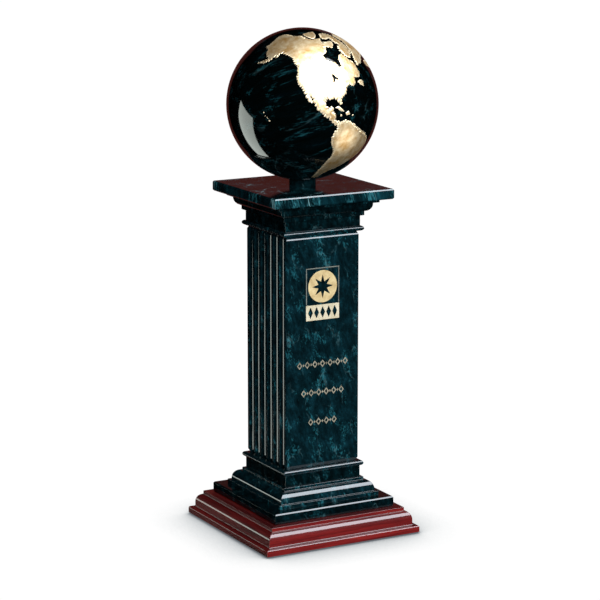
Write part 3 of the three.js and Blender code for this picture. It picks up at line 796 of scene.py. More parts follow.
BAR_LOW, BAR_HIGH, FRAME_HALF, FRAME_TOP, FRAME_LINE = 193.4, 207.1, 16.5, 239.8, 1.1
MEDAL_Z, MEDAL_R = 223.0, 14.3
inner_half, inner_top, foot = FRAME_HALF - FRAME_LINE, FRAME_TOP - FRAME_LINE, BAR_HIGH + 0.4
figures = {
    "front_frame": [([
        (-FRAME_HALF, foot), (-inner_half, foot), (-inner_half, inner_top),
        (inner_half, inner_top), (inner_half, foot), (FRAME_HALF, foot),
        (FRAME_HALF, FRAME_TOP), (-FRAME_HALF, FRAME_TOP),
    ], [])],
    "front_medal": [(
        arc(0, MEDAL_Z, MEDAL_R, MEDAL_R, 0, 360, 72), [star(MEDAL_Z, 8, 10.2, 4.4)],
    )],
    "front_bar": [(
        rectangle(-FRAME_HALF, BAR_LOW, FRAME_HALF, BAR_HIGH),
        [lozenge(i * 6, (BAR_LOW + BAR_HIGH) / 2, 2.3, 4.9) for i in range(-2, 3)],
    )],
}
cutters = [figure_mesh(name, pieces, *AS_CUTTER) for name, pieces in figures.items()]
fills = {name: figure_mesh(name, pieces, *AS_FILL) for name, pieces in figures.items()}

# %% [markdown]
# ### The three rules
# A rule is a row of open lozenges threaded on a thin line, with a small solid lozenge halfway
# between each pair. It is one lozenge and one link, set down again and again along a line of
# points, so a tree makes it from a count and a width.

# %% The tree that strings lozenges on a rule
# Halves, in mm: the open lozenge, its hole, the solid lozenge, and the line between them.
LOZENGE_WIDE, LOZENGE_HIGH, HOLE_WIDE, HOLE_HIGH = 2.8, 3.5, 1.3, 1.65
STUD_WIDE, STUD_HIGH, RULE_LINE, LINK_GAP = 0.62, 1.7, 0.45, 0.05

string_rule, given = shape_tree("lozenges_on_a_rule", {
    "Lozenge": "Object", "Link": "Object", "Count": "Int", "Pitch": "Float",
    "Height": "Float", "Material": "Material",
})
count, pitch, height = [given.outputs[label] for label in ("Count", "Pitch", "Height")]
gaps = add(string_rule, "ShaderNodeMath", {0: count, 1: 1.0}, operation="SUBTRACT")
length = add(string_rule, "ShaderNodeMath", {0: gaps, 1: pitch}, operation="MULTIPLY")
start_x = add(string_rule, "ShaderNodeMath", {0: length, 1: -0.5}, operation="MULTIPLY")
first_at = add(string_rule, "ShaderNodeCombineXYZ", {"X": start_x, "Z": height})
step = add(string_rule, "ShaderNodeCombineXYZ", {"X": pitch})
row = add(
    string_rule, "GeometryNodeMeshLine",
    {"Count": count, "Start Location": first_at, "Offset": step}, mode="OFFSET",
)
half_pitch = add(string_rule, "ShaderNodeMath", {0: pitch, 1: 0.5}, operation="MULTIPLY")
link_x = add(string_rule, "ShaderNodeMath", {0: start_x, 1: half_pitch})
link_at = add(string_rule, "ShaderNodeCombineXYZ", {"X": link_x, "Z": height})
link_row = add(
    string_rule, "GeometryNodeMeshLine",
    {"Count": gaps, "Start Location": link_at, "Offset": step}, mode="OFFSET",
)
strung = []
for points, part in ((row, "Lozenge"), (link_row, "Link")):
    shape_in = add(string_rule, "GeometryNodeObjectInfo", {"Object": given.outputs[part]})
    strung.append(add(
        string_rule, "GeometryNodeInstanceOnPoints",
        {"Points": points, "Instance": shape_in.outputs["Geometry"]},
    ))
joined = add(string_rule, "GeometryNodeJoinGeometry")
for one in strung:
    string_rule.links.new(one.outputs[0], joined.inputs[0])
end_tree(string_rule, given, joined)


def rule_mesh(name, height, width, count, back, face, gap):
    """One rule's mesh: as a fill, or as the cutter of its pocket."""
    pitch = (width - 2 * LOZENGE_WIDE) / (count - 1)
    hole = lozenge(0, 0, HOLE_WIDE, HOLE_HIGH)
    open_lozenge = (lozenge(0, 0, LOZENGE_WIDE, LOZENGE_HIGH), [hole])
    reach, line = pitch / 2 - LOZENGE_WIDE - LINK_GAP, RULE_LINE
    upper = [(reach, line), (STUD_WIDE, line), (0, STUD_HIGH), (-STUD_WIDE, line), (-reach, line)]
    link = [(-x, -z) for x, z in upper] + upper
    one = new_object("lozenge", figure_mesh("lozenge", [open_lozenge], back, face, gap))
    two = new_object("link", figure_mesh("link", [(link, [])], back, face, gap))
    piece = from_tree(name, string_rule, {
        "Lozenge": one, "Link": two, "Count": count, "Pitch": pitch * MM, "Height": height * MM,
        "Material": rule_fill,
    })
    for part in (one, two):
        bpy.data.objects.remove(part)
    mesh = piece.data
    bpy.data.objects.remove(piece)
    return mesh


rules = {
    "front_rule_top": (154.5, 51, 7),
    "front_rule_middle": (129.3, 43, 6),
    "front_rule_bottom": (103.0, 29, 4),
}
for name, sizes in rules.items():
    cutters.append(rule_mesh(name + "_pocket", *sizes, *AS_CUTTER))
    fills[name] = rule_mesh(name, *sizes, *AS_FILL)


# %% Sinking the pockets and laying the fills
def sink(piece, meshes, name):
    """Cuts every mesh of a list out of a piece."""
    tools = bpy.data.collections.new(name + "_tools")
    for mesh in meshes:
        tools.objects.link(bpy.data.objects.new(mesh.name, mesh))
    cut = piece.modifiers.new("pockets", "BOOLEAN")
    cut.operation = "DIFFERENCE"
    cut.operand_type = "COLLECTION"
    cut.collection = tools
    cut.solver = "MANIFOLD"
    keep_mesh(piece, name)
    for tool in list(tools.objects):
        bpy.data.objects.remove(tool)
    bpy.data.collections.remove(tools)


HONED_DEPTH = 0.64  # a side face no deeper than this is a fillet, and is left honed
FILL_ARRIS = 0.12

sink(shaft, cutters, "fluted_shaft")
shaft.data.shade_smooth()
shaft.data.set_sharp_from_angle(angle=math.radians(25))
shaft.data.materials.append(honed_marble)
for face in shaft.data.polygons:
    if abs(face.normal.x) > 0.9 and abs(face.center.x) > (SHAFT_HALF - HONED_DEPTH) * MM:
        face.material_index = len(shaft.data.materials) - 1
settle(shaft, "shaft")

finishes = dict.fromkeys(rules, rule_fill)
finishes |= {"front_frame": line_fill, "front_medal": gold_fill, "front_bar": bar_fill}
for name, mesh in fills.items():
    fill = new_object(name.replace("front_", "gold_fill_"), mesh)
    mesh.materials.clear()
    mesh.materials.append(finishes[name])
    round_arrises(fill, FILL_ARRIS * MM, segments=2, clamp=True)
    settle(fill, name)

# %% [markdown]
# ## The map's coasts
# The map is stylised: its own axis leans towards the front, and every coast is drawn as a run of
# small scallops, as a cutter leaves when a pocket is opened with overlapping round strokes. The
# coasts are latitude and longitude on the map's own leaning frame. A coast is drawn on a flat
# sheet that touches the ball over the middle of the land, where great circles are straight, and
# thrown back onto the ball from its centre.

# %% Coast lines
COASTS = {
    "americas": [
        [49, -173], [52, -177], [52, 175], [55, 174], [59, 170], [63, 161], [67, 158], [71, 164],
        [74, 180], [79, -176], [79, -148], [80, -125], [82, -103], [83, -82], [77, -83], [78, -68],
        [76, -42], [73, -53], [71, -65],
        [73, -82], [67, -85], [64, -94], [60, -89], [58, -80], [56, -75], [52, -75], [54, -69],
        [59, -69], [63, -62], [63, -54], [60, -52], [55, -50], [54, -46], [49, -47], [44, -48],
        [42, -51], [43, -59], [39, -60], [37, -65], [39, -68], [37, -73], [34, -74], [32, -76],
        [29, -80], [25, -80], [26, -82.5], [29, -84], [30, -87], [29, -89], [30, -93], [27, -95],
        [24, -94], [22, -92], [24, -89], [20, -88], [18, -86], [14, -86], [12, -83],
        [12, -80], [13, -78], [12, -73], [9, -69], [5, -64], [2, -60], [-1, -55], [-7, -49],
        [-12, -48], [-16, -50], [-20, -52], [-23, -57], [-26, -63], [-29, -68], [-32, -72],
        [-34, -77], [-39, -82], [-49, -85], [-46, -90], [-33, -89], [-23, -86], [-16, -83],
        [-11, -83], [-6, -86], [-1, -87], [4, -86], [6, -84], [8, -83], [10, -84],
        [11, -87], [13, -89], [16, -91], [16, -94], [19, -97], [20, -99], [23, -102], [25, -103.5],
        [28.5, -105.5], [32, -109.5], [29, -107.7], [26, -105.4], [25.5, -107], [28, -110],
        [31, -112], [33, -114], [36, -117], [38, -121], [42, -123], [46, -124], [49, -126],
        [51, -126], [52, -130], [56, -137], [57, -143], [57, -150], [57, -155], [55, -157],
        [51, -156], [52, -160], [46.5, -161], [43, -164], [39, -172], [44, -167], [48, -164],
        [48, -170],
    ],
    "arctic_isle": [
        [81, 168], [84, 151], [85, 88], [89, -69], [83.5, -105], [81.5, -124], [81.5, -150],
        [81, -176],
    ],
    "baffin_isle": [
        [84, -64], [86, 13], [81, 21], [77, 10], [74, -4], [69, -14], [65, -20], [61, -28],
        [57, -45], [60, -50], [65, -52], [70, -47], [70, -33], [74, -38], [77, -29], [79, -26],
        [81, -56],
    ],
    "greenland": [
        [74, 5], [68, -5], [65, -15], [60, -28], [55, -38], [50, -43], [49, -31], [50, -17],
        [46, 2], [54, 12], [62, 24], [70, 28],
    ],
    "newfoundland": [[39, -57], [40, -52], [38, -48], [34, -50], [36, -54]],
    "iceland": [[47, -18], [43, -6], [36, -4], [35, -9], [40, -17], [45, -22]],
    "cuba": [[23, -86.5], [24, -83], [22, -80], [19.5, -78], [20, -81], [22, -84]],
    "hispaniola": [[18.5, -77], [20, -74], [17, -72.5], [16.5, -76]],
    "eurasia": [
        [36, 9], [37, 7], [43, 8], [43, 13], [48, 11], [50, 17], [53, 22], [56, 26], [54, 30],
        [57, 36], [60, 40], [57, 31], [60, 31], [62, 38], [63.5, 46], [64, 56], [61.5, 54],
        [64.5, 66], [64.5, 72], [63.5, 84], [61.5, 94], [58, 106], [53, 114], [49, 121],
        [46, 118], [49, 112],
        [47, 108], [42, 103], [35, 104],
        [39, 98], [37, 94], [31, 97], [23, 92], [21, 86], [14, 87], [9, 84], [13, 80], [4, 83],
        [9, 77], [16, 76], [22, 73], [16, 68], [8, 64], [19, 60], [24, 56], [26, 49], [30, 44],
        [25, 47], [22, 51], [13, 41], [28, 36], [36, 37], [37, 29], [40, 26], [37, 23], [42, 21],
        [45, 17], [40, 20], [38, 18], [44, 14.5], [41, 11.5],
    ],
    "africa": [
        [34, 4], [35, 11], [36, 17], [32, 17], [31, 23], [31, 33], [22, 35], [12, 40], [11, 49],
        [4, 46], [-5, 39], [-15, 40], [-20, 35], [-26, 34], [-34, 27], [-35, 22], [-28, 19],
        [-17, 15], [-6, 17], [4, 14], [5, 6], [5, -1], [9, -5], [15, -7], [21, -5], [28, -1],
    ],
    "australia": [
        [-22, 100], [-34, 102], [-32, 112], [-38, 130], [-37, 137], [-28, 141], [-19, 134],
        [-11, 130], [-17, 127], [-12, 121], [-14, 115], [-20, 107],
    ],
    "antarctica": [
        [-84, -82], [-79, -128], [-73, -155], [-76, 175], [-70, 150], [-67, 120], [-66, 90],
        [-67, 60], [-69, 30], [-71, 5], [-74, -20], [-78, -38],
    ],
    "madagascar": [[-12, 47], [-16, 48], [-25, 44], [-24, 41], [-17, 43]],
    "new_guinea": [[-1, 119], [-3, 129], [-9, 136], [-7, 127], [-5, 122]],
    "borneo": [[6, 101], [1, 103], [-4, 99], [1, 94]],
    "sumatra": [[4, 78], [-3, 87], [-6, 87], [1, 77]],
    "java": [[-8, 89], [-8.5, 98], [-10.5, 98], [-10, 89]],
    "honshu": [[42, 115], [36, 116], [33, 107], [36, 110]],
    "luzon": [[18, 98], [14, 101], [7, 104], [9, 101], [14, 98]],
    "new_zealand_north": [[-35, 158], [-38, 163], [-41, 160], [-39, 158]],
    "new_zealand_south": [[-42, 158], [-44, 157], [-47, 151], [-45, 150]],
}
ISLETS = {
    "jamaica": (17, -81, 0.9), "puerto_rico": (16, -70, 0.8), "hawaii_1": (10, -142, 0.7),
    "hawaii_2": (8, -140, 0.6), "hawaii_3": (7, -138, 0.6), "hawaii_4": (5.5, -136, 0.9),
}
GREAT_LAKES = [
    [48, -86.5], [47.5, -84], [45.5, -82], [44.5, -79], [43.5, -80.5], [44, -83], [42, -84.5],
    [42, -86], [45, -85.5], [46, -86.5],
]
for name, (latitude, longitude, size) in ISLETS.items():
    COASTS[name] = [
        (latitude + size * math.sin(i * math.pi / 4),
         longitude + size / math.cos(math.radians(latitude)) * math.cos(i * math.pi / 4))
        for i in range(8)
    ]
MAP_LEAN, MAP_TURN = math.radians(19), math.radians(-8)
map_turn = Matrix.Rotation(MAP_LEAN, 3, "X") @ Matrix.Rotation(MAP_TURN, 3, "Z")


def map_direction(spot):
    up, round_ = math.radians(spot[0]), math.radians(spot[1])
    return map_turn @ Vector((
        math.cos(up) * math.cos(round_), math.cos(up) * math.sin(round_), math.sin(up),
    ))


# %% Scalloped outlines
# The scallops' pitch, height and drawing step in mm, and how much the first two wander.
SCALLOP, SCALLOP_DEEP, STROKE = 2.7, 1.7, 0.3
PITCH_SPREAD, HEIGHT_SPREAD = (0.75, 1.3), (0.35, 1.4)
FULLNESS, SUNK = 0.6, 0.45  # how blunt a scallop is, and how much of it lies inside the drawn line
MOST = 1 / 60  # a scallop is never higher than this part of its coast's length


class Sheet:
    """The flat sheet that touches the ball over the middle of one land."""

    def __init__(self, rim):
        # Steps towards the farthest point, each shorter, end over the middle of the land.
        middle = rim[0].copy()
        for i in range(1, 60):
            middle = middle.lerp(min(rim, key=middle.dot), 1 / (i + 1)).normalized()
        helper = Vector((0, 0, 1)) if abs(middle.z) < 0.9 else Vector((1, 0, 0))
        self.middle = middle
        self.east = helper.cross(middle).normalized()
        self.north = middle.cross(self.east)

    def flat(self, d):
        return Vector((d.dot(self.east), d.dot(self.north))) / d.dot(self.middle)

    def thrown(self, p):
        return (self.middle + self.east * p[0] + self.north * p[1]).normalized()


def scalloped(corners, seed, inwards=1.0):
    """A coast on its sheet, in ball radii: the drawn corners joined by small scallops."""
    chance = random.Random(seed)
    ring = [Vector(p) for p in corners]
    area = sum(a.x * b.y - b.x * a.y for a, b in zip(ring, ring[1:] + ring[:1]))
    if area < 0:
        ring.reverse()
    around = sum((b - a).length for a, b in zip(ring, ring[1:] + ring[:1])) * GLOBE_RADIUS
    deep = min(SCALLOP_DEEP, around * MOST)
    line = []
    for a, b in zip(ring, ring[1:] + ring[:1]):
        way = b - a
        local = math.sqrt(1 + ((a + b) / 2).length_squared)  # the sheet spreads towards its edges
        length = way.length * GLOBE_RADIUS / local
        count = max(1, round(length / SCALLOP / chance.uniform(*PITCH_SPREAD)))
        side = Vector((way.y, -way.x)).normalized() * inwards
        steps = max(2, round(length / count / STROKE))
        for k in range(count):
            height = deep * chance.uniform(*HEIGHT_SPREAD) * local / GLOBE_RADIUS
            for s in range(steps):
                along = (k + s / steps) / count
                bulge = abs(math.sin(math.pi * s / steps)) ** FULLNESS - SUNK
                line.append(a + way * along + side * height * bulge)
    return line


# %% [markdown]
# ## Leaf and pockets
# Each land is a thin metal leaf that follows the ball, laid in a pocket of its own shape. Both
# come from the same outline: the cutter is its wedge of a shell from the pocket's floor out past
# the surface, and the leaf is a tray whose face lies just under the marble and rolls down over
# its last half millimetre, which is where it catches the light and where a highlight is painted
# on it as well.

# %% Lands on the ball
POCKET_FLOOR = GLOBE_RADIUS - 0.8
LEAF_BACK, LEAF_FACE, ROLL_WIDTH, ROLL_DROP, LEAF_GAP = 0.74, 0.04, 0.6, 0.34, 0.1
MESH_STEP = 1.7  # mm between the points that make a face follow the ball
MESH_ROW = 0.87  # from row to row, in steps
COAST_CLEAR = 0.17  # mm between those points and the coast
ROLL_ROWS = ((0.22, 1), (0.6, 2))  # mm in from the coast, and every how many of its points
# How far inland the painted highlight at the coast fades out.
PAINTED_HIGHLIGHT_REACH = 0.9  # mm


def distance_to(points, rings):
    """How far each flat point is from the nearest coast, in the sheet's units."""
    points = np.array([tuple(p) for p in points])
    nearest = np.full(len(points), 1e9)
    for ring in rings:
        a = np.array([tuple(p) for p in ring])
        b = np.roll(a, -1, axis=0)
        for one, two in zip(a, b):
            way = two - one
            along = np.clip(((points - one) @ way) / max(way @ way, 1e-18), 0, 1)
            gap = points - one - along[:, None] * way
            nearest = np.minimum(nearest, (gap * gap).sum(axis=1))
    return np.sqrt(nearest)


def inside_many(points, ring):
    points = np.array([tuple(p) for p in points])
    a = np.array([tuple(p) for p in ring])
    b = np.roll(a, -1, axis=0)
    odd = np.zeros(len(points), dtype=bool)
    for (ax, ay), (bx, by) in zip(a, b):
        if ay == by:
            continue
        crosses = (ay > points[:, 1]) != (by > points[:, 1])
        odd ^= crosses & (points[:, 0] < (bx - ax) * (points[:, 1] - ay) / (by - ay) + ax)
    return odd


def on_land(points, rings):
    """Which points are inside the first ring and outside the rest."""
    keep = inside_many(points, rings[0])
    for lake in rings[1:]:
        keep &= ~inside_many(points, lake)
    return keep


def land_mesh(name, sheet, outline, lakes, back, face, gap, roll):
    """A closed solid over an outline: back and face are radii, roll if its edge falls."""
    unit = 1 / GLOBE_RADIUS
    rings = [shifted(outline, -gap * unit)] + [shifted(lake, gap * unit) for lake in lakes]
    edge_points = [p for ring in rings for p in ring]
    lo = Vector((min(p.x for p in rings[0]), min(p.y for p in rings[0])))
    hi = Vector((max(p.x for p in rings[0]), max(p.y for p in rings[0])))
    grid_step = MESH_STEP * unit
    grid = [
        Vector((lo.x + (i + 0.5 * (j % 2)) * grid_step, lo.y + j * grid_step * MESH_ROW))
        for i in range(int((hi.x - lo.x) / grid_step) + 2)
        for j in range(int((hi.y - lo.y) / grid_step / MESH_ROW) + 2)
    ]
    if roll:
        for ring in rings:
            way = -1 if ring is rings[0] else 1
            for depth, every in ROLL_ROWS:
                grid += shifted(ring, way * depth * unit)[::every]
    grid = [p for p, keep in zip(grid, on_land(grid, rings)) if keep]
    far = distance_to(grid, rings) if grid else []
    grid = [p for p, d in zip(grid, far) if d > COAST_CLEAR * unit]
    edges, first = [], 0
    for ring in rings:
        edges += [(first + i, first + (i + 1) % len(ring)) for i in range(len(ring))]
        first += len(ring)
    flat, _, faces, *_ = delaunay_2d_cdt(edge_points + grid, edges, [], 0, 1e-9)
    centres = [sum((flat[i] for i in f), Vector((0, 0))) / len(f) for f in faces]
    faces = [f for f, keep in zip(faces, on_land(centres, rings)) if keep]
    used = sorted({i for f in faces for i in f})
    order = {old: new for new, old in enumerate(used)}
    faces = [tuple(order[i] for i in f) for f in faces]
    flat = [flat[i] for i in used]
    near = distance_to(flat, rings) / unit if roll else np.full(len(flat), ROLL_WIDTH)
    fall = np.clip(1 - near / ROLL_WIDTH, 0, 1) ** 2 * ROLL_DROP
    thrown = [sheet.thrown(p) for p in flat]
    centre = Vector((0, 0, GLOBE_CENTRE))
    verts = [(centre + d * back) * MM for d in thrown]
    verts += [(centre + d * (face - f)) * MM for d, f in zip(thrown, fall)]
    n = len(flat)
    solid = [tuple(reversed(f)) for f in faces] + [tuple(i + n for i in f) for f in faces]
    sides = {(a, b) for f in faces for a, b in zip(f, f[1:] + f[:1])}
    solid += [(a, b, b + n, a + n) for a, b in sides if (b, a) not in sides]
    mesh = bpy.data.meshes.new(name)
    mesh.from_pydata(verts, [], solid)
    if roll:
        # The rim attribute carries the painted highlight along the coast, fading out inland.
        rim = mesh.attributes.new("rim", "FLOAT", "POINT")
        glow = np.clip(1 - near / PAINTED_HIGHLIGHT_REACH, 0, 1)
        rim.data.foreach_set("value", np.concatenate([glow, glow]))
    face_outwards(mesh)
    return mesh


pockets, leaves, lake_shore = [], [], None
for number, (name, coast) in enumerate(COASTS.items()):
    rim = [map_direction(spot) for spot in coast]
    sheet = Sheet(rim)
    outline = scalloped([sheet.flat(d) for d in rim], number)
    lakes = []
    if name == "americas":
        shore = [sheet.flat(map_direction(spot)) for spot in GREAT_LAKES]
        lakes = [scalloped(shore, 99, -1.0)]
        lake_shore = (sheet, lakes[0])
    pockets.append(land_mesh(
        name + "_pocket", sheet, outline, lakes,
        POCKET_FLOOR, GLOBE_RADIUS + STAND_OUT, 0.0, False,
    ))
    leaf = new_object("gold_leaf_" + name, land_mesh(
        "gold_leaf_" + name, sheet, outline, lakes,
        GLOBE_RADIUS - LEAF_BACK, GLOBE_RADIUS - LEAF_FACE, LEAF_GAP, True,
    ))
    leaf.data.materials.append(gold_leaf)
    leaf.data.shade_smooth()
    leaf.data.set_sharp_from_angle(angle=math.radians(50))
    settle(leaf, "map_" + name)
    leaves.append(leaf)

# %% [markdown]
# ## The globe
# A ball of marble, ground true and polished, with the pockets of the map sunk into it, a small
# flat ground at the bottom where it sits on the collar, and a hole there for the brass insert.
# The ball's shading normals are set straight out from its centre, so the polish shows no facets.

# %% The ball
SEAT_CUT, INSERT_HOLE, INSERT_DEEP, BELOW = 20, 6.6, 23, 5  # mm: two radii and two depths
TRUE_BALL = 0.06  # mm that a corner of the ground ball may be inside its radius


def kept_mesh(work, name, lift=0.0):
    """The mesh of a finished bmesh, lifted by a height in mm."""
    bmesh.ops.translate(work, verts=work.verts, vec=(0, 0, lift * MM))
    mesh = bpy.data.meshes.new(name)
    work.to_mesh(mesh)
    work.free()
    return mesh


work = bmesh.new()
bmesh.ops.create_icosphere(work, subdivisions=6, radius=GLOBE_RADIUS * MM)
ball_mesh = kept_mesh(work, "polished_globe", GLOBE_CENTRE)
globe = new_object("polished_globe", ball_mesh)
ball_mesh.materials.append(globe_marble)


def drill(name, radius, bottom, top):
    work = bmesh.new()
    bmesh.ops.create_cone(
        work, cap_ends=True, segments=64, radius1=radius * MM, radius2=radius * MM,
        depth=(top - bottom) * MM,
    )
    return kept_mesh(work, name, (top + bottom) / 2)


sink(globe, [
    drill("seat", SEAT_CUT, SLAB_TOP - BELOW, SEAT),
    drill("insert_hole", INSERT_HOLE, SLAB_TOP, SEAT + INSERT_DEEP), *pockets,
], "polished_globe")
centre = Vector((0, 0, GLOBE_CENTRE * MM))
globe.data.materials.append(blackened_marble)
lake_sheet, shore = lake_shore
facing = [f for f in globe.data.polygons if (f.center - centre).dot(lake_sheet.middle) > 0]
spots = [lake_sheet.flat((f.center - centre).normalized()) for f in facing]
for face, wet in zip(facing, inside_many(spots, shore)):
    if wet:
        face.material_index = len(globe.data.materials) - 1
globe.data.shade_smooth()
globe.data.set_sharp_from_angle(angle=math.radians(35))
on_ball = {
    v.index for v in globe.data.vertices
    if (v.co - centre).length > (GLOBE_RADIUS - TRUE_BALL) * MM
}
corner_normals = [tuple(c.vector) for c in globe.data.corner_normals]
for face in globe.data.polygons:
    if all(v in on_ball for v in face.vertices):
        for corner, v in zip(face.loop_indices, face.vertices):
            corner_normals[corner] = tuple((globe.data.vertices[v].co - centre).normalized())
globe.data.normals_split_custom_set(corner_normals)
settle(globe, "globe")

# %% [markdown]
# ## The stained base
# Four rails of one moulded section, mitred at the corners and glued round a board. The section is
# carried along a straight line and each end is then cut on the mitre: a point stands as far along
# the rail as it stands out from the middle. The arrises are eased, which leaves a hairline at
# each mitre.

# %% The tree that cuts a mitred rail
mitred_rail, given = shape_tree(
    "mitred_rail", {"Section": "Object", "Side": "Float", "Material": "Material"}
)
line = add(
    mitred_rail, "GeometryNodeCurvePrimitiveLine", {"Start": (-1, 0, 0), "End": (1, 0, 0)},
)
upright = add(mitred_rail, "GeometryNodeSetCurveNormal", {"Curve": line}, mode="Z_UP")
section_in = add(mitred_rail, "GeometryNodeObjectInfo", {"Object": given.outputs["Section"]})
straight = add(
    mitred_rail, "GeometryNodeCurveToMesh",
    {"Curve": upright, "Profile Curve": section_in.outputs["Geometry"], "Fill Caps": True},
)
here = add(mitred_rail, "GeometryNodeInputPosition")
parts = add(mitred_rail, "ShaderNodeSeparateXYZ", {"Vector": here})
end_side = add(mitred_rail, "ShaderNodeMath", {0: parts.outputs["X"]}, operation="SIGN")
out = add(mitred_rail, "ShaderNodeMath", {0: parts.outputs["Y"], 1: -1.0}, operation="MULTIPLY")
mitre = add(mitred_rail, "ShaderNodeMath", {0: end_side, 1: out}, operation="MULTIPLY")
cut_at = add(
    mitred_rail, "ShaderNodeCombineXYZ",
    {"X": mitre, "Y": parts.outputs["Y"], "Z": parts.outputs["Z"]},
)
cut_rail = add(mitred_rail, "GeometryNodeSetPosition", {"Geometry": straight, "Position": cut_at})
side_turn = add(mitred_rail, "ShaderNodeCombineXYZ", {"Z": given.outputs["Side"]})
set_round = add(
    mitred_rail, "GeometryNodeTransform", {"Geometry": cut_rail, "Rotation": side_turn.outputs[0]},
)
end_tree(mitred_rail, given, set_round)

# %% The four rails
FELT_TOP, WOOD_HALF, FOOT_TOP, STEP_HALF, BOARD_HALF = 1.0, 76.2, 6.9, 71.6, 56.0
NOSING, COVE, ROUND_FOOT, TOP_HALF = 1.6, 1.0, 11.65, 66.1
rail_section = [
    (BOARD_HALF, FELT_TOP), (WOOD_HALF, FELT_TOP), (WOOD_HALF, FOOT_TOP - NOSING),
    *arc(WOOD_HALF - NOSING, FOOT_TOP - NOSING, NOSING, NOSING, 0, 90, 6),
    (STEP_HALF + COVE, FOOT_TOP),
    *arc(STEP_HALF + COVE, FOOT_TOP + COVE, COVE, COVE, 270, 180, 3),
    (STEP_HALF, ROUND_FOOT), *arc(TOP_HALF, ROUND_FOOT, 5.5, 7.65, 0, 90, 12),
    (TOP_HALF, WOOD_TOP), (BOARD_HALF, WOOD_TOP),
]
section = outline_curve("rail_section", [(x * MM, -z * MM) for x, z in rail_section])
for i, side in enumerate(("front", "right", "back", "left")):
    rail = from_tree(
        "mitred_rail_" + side, mitred_rail,
        {"Section": section, "Side": i * math.pi / 2,
         "Material": wood_along_y if i % 2 else wood_along_x},
        arris=0.35 * MM,
    )
    settle(rail, "wood_rail_" + side)
bpy.data.objects.remove(section)

# %% [markdown]
# ## The felt
# A sheet of pressed wool felt is glued under the base so that it doesn't scratch a shelf. Its
# faces are a little uneven and its cut edge is slightly fuzzy, so its surface is moved by a fine
# noise.

# %% The felt sheet
FELT_HALF, FELT_CORNER, FUZZ, SOFT_EDGE = 73.0, 3, 0.25, 0.12
work = bmesh.new()
steps = 73
chance = random.Random(7)
rows = {}
for top in (0, 1):
    for i in range(steps + 1):
        for j in range(steps + 1):
            x, y = [(2 * k / steps - 1) * FELT_HALF for k in (i, j)]
            straight = FELT_HALF - FELT_CORNER
            corner = Vector((max(abs(x) - straight, 0), max(abs(y) - straight, 0)))
            if corner.length > FELT_CORNER:
                fix = corner.normalized() * FELT_CORNER
                x = math.copysign(straight + fix.x, x)
                y = math.copysign(straight + fix.y, y)
            if i in (0, steps) or j in (0, steps):
                x -= math.copysign(chance.uniform(0, FUZZ), x)
                y -= math.copysign(chance.uniform(0, FUZZ), y)
                z = FELT_TOP - SOFT_EDGE if top else SOFT_EDGE
            else:
                z = chance.uniform(0.9, 0.99) if top else chance.uniform(0.0, 0.06)
            rows[top, i, j] = work.verts.new((x * MM, y * MM, z * MM))
for i in range(steps):
    for j in range(steps):
        for top in (0, 1):
            work.faces.new([rows[top, i, j], rows[top, i + 1, j], rows[top, i + 1, j + 1],
                            rows[top, i, j + 1]])
around = [(i, 0) for i in range(steps)] + [(steps, j) for j in range(steps)]
around += [(i, steps) for i in range(steps, 0, -1)] + [(0, j) for j in range(steps, 0, -1)]
for a, b in zip(around, around[1:] + around[:1]):
    work.faces.new([rows[0, *a], rows[0, *b], rows[1, *b], rows[1, *a]])
bmesh.ops.recalc_face_normals(work, faces=work.faces)
felt_mesh = kept_mesh(work, "felt_under_the_base")
felt = new_object("felt_under_the_base", felt_mesh)
felt_mesh.materials.append(green_felt)
felt_mesh.shade_smooth()
settle(felt, "felt_pad")

# %% [markdown]
# ## Hidden hardware
# The threaded rod, the nut and washers in the base and the brass insert in the globe keep their
# exact CAD shapes. Here they only get the look of what they are made of.

# %% Materials on the kept parts
KEPT = {
    "wood_core_board": core_board, "globe_insert": turned_brass, "tie_rod": zinc_steel,
    "flat_washer": zinc_steel, "spring_washer": zinc_steel, "hex_nut": zinc_steel,
}
for name, material in KEPT.items():
    part = bpy.data.objects[name]
    part.data.materials.clear()
    part.data.materials.append(material)

# %% [markdown]
# ## Table, light and camera
# The trophy stands on plain white, with a soft shadow painted into the table's glow where the
# base stands close. Polished dark stone shows almost nothing but what it reflects, so each light
# is a card set where one of its reflections should fall: a big cool softbox high on the right
# front for the map and the mouldings, a long white card low on the left for the flutes and the
# crescent on the globe, a low strip on the table for the thin lines on the left of the
# mouldings, and a red-brown wall far behind, which the polished top of the slab mirrors. Two
# lamps reach only the leaf, one for its north and one for its south. Even light from all round
# brings out the colours that don't depend on reflection.

# %% The table
floor_mesh = bpy.data.meshes.new("white_table")
reach = 14.0
floor_mesh.from_pydata(
    [(-reach, -reach, 0), (reach, -reach, 0), (reach, reach, 0), (-reach, reach, 0)], [],
    [(0, 1, 2, 3)],
)
floor = new_object("white_table", floor_mesh)
table_with_painted_shadow, t = new_material("glowing_white_table")
# Painted contact shadow: the table's glow is darkened where ambient occlusion finds the base close
# by.
near = add(t, "ShaderNodeAmbientOcclusion", {"Distance": 0.055}, samples=8)
painted_contact_shadow = add(
    t, "ShaderNodeValToRGB", {"Fac": near.outputs["AO"]},
    stops=[(0.45, "#60656a"), (0.64, "#989da1"), (0.8, "#cdd0d2"), (0.92, "#ebeded"),
           (0.985, "#ffffff")],
)
glow = add(t, "ShaderNodeEmission", {"Color": painted_contact_shadow.outputs["Color"], "Strength": 1.02})
add(t, "ShaderNodeOutputMaterial", {"Surface": glow})
floor_mesh.materials.append(table_with_painted_shadow)
floor.visible_glossy = floor.visible_diffuse = False


# %% Cards
def direction(azimuth, elevation):
    """Azimuth 0 is the front, 90 the right."""
    a, e = math.radians(azimuth), math.radians(elevation)
    return Vector((math.sin(a) * math.cos(e), -math.cos(a) * math.cos(e), math.sin(e)))


def through(corners, distance):
    """Points in the given directions from the middle of the trophy."""
    middle = Vector((0, 0, 0.3))
    return [middle + direction(a, e) * distance for a, e in corners]


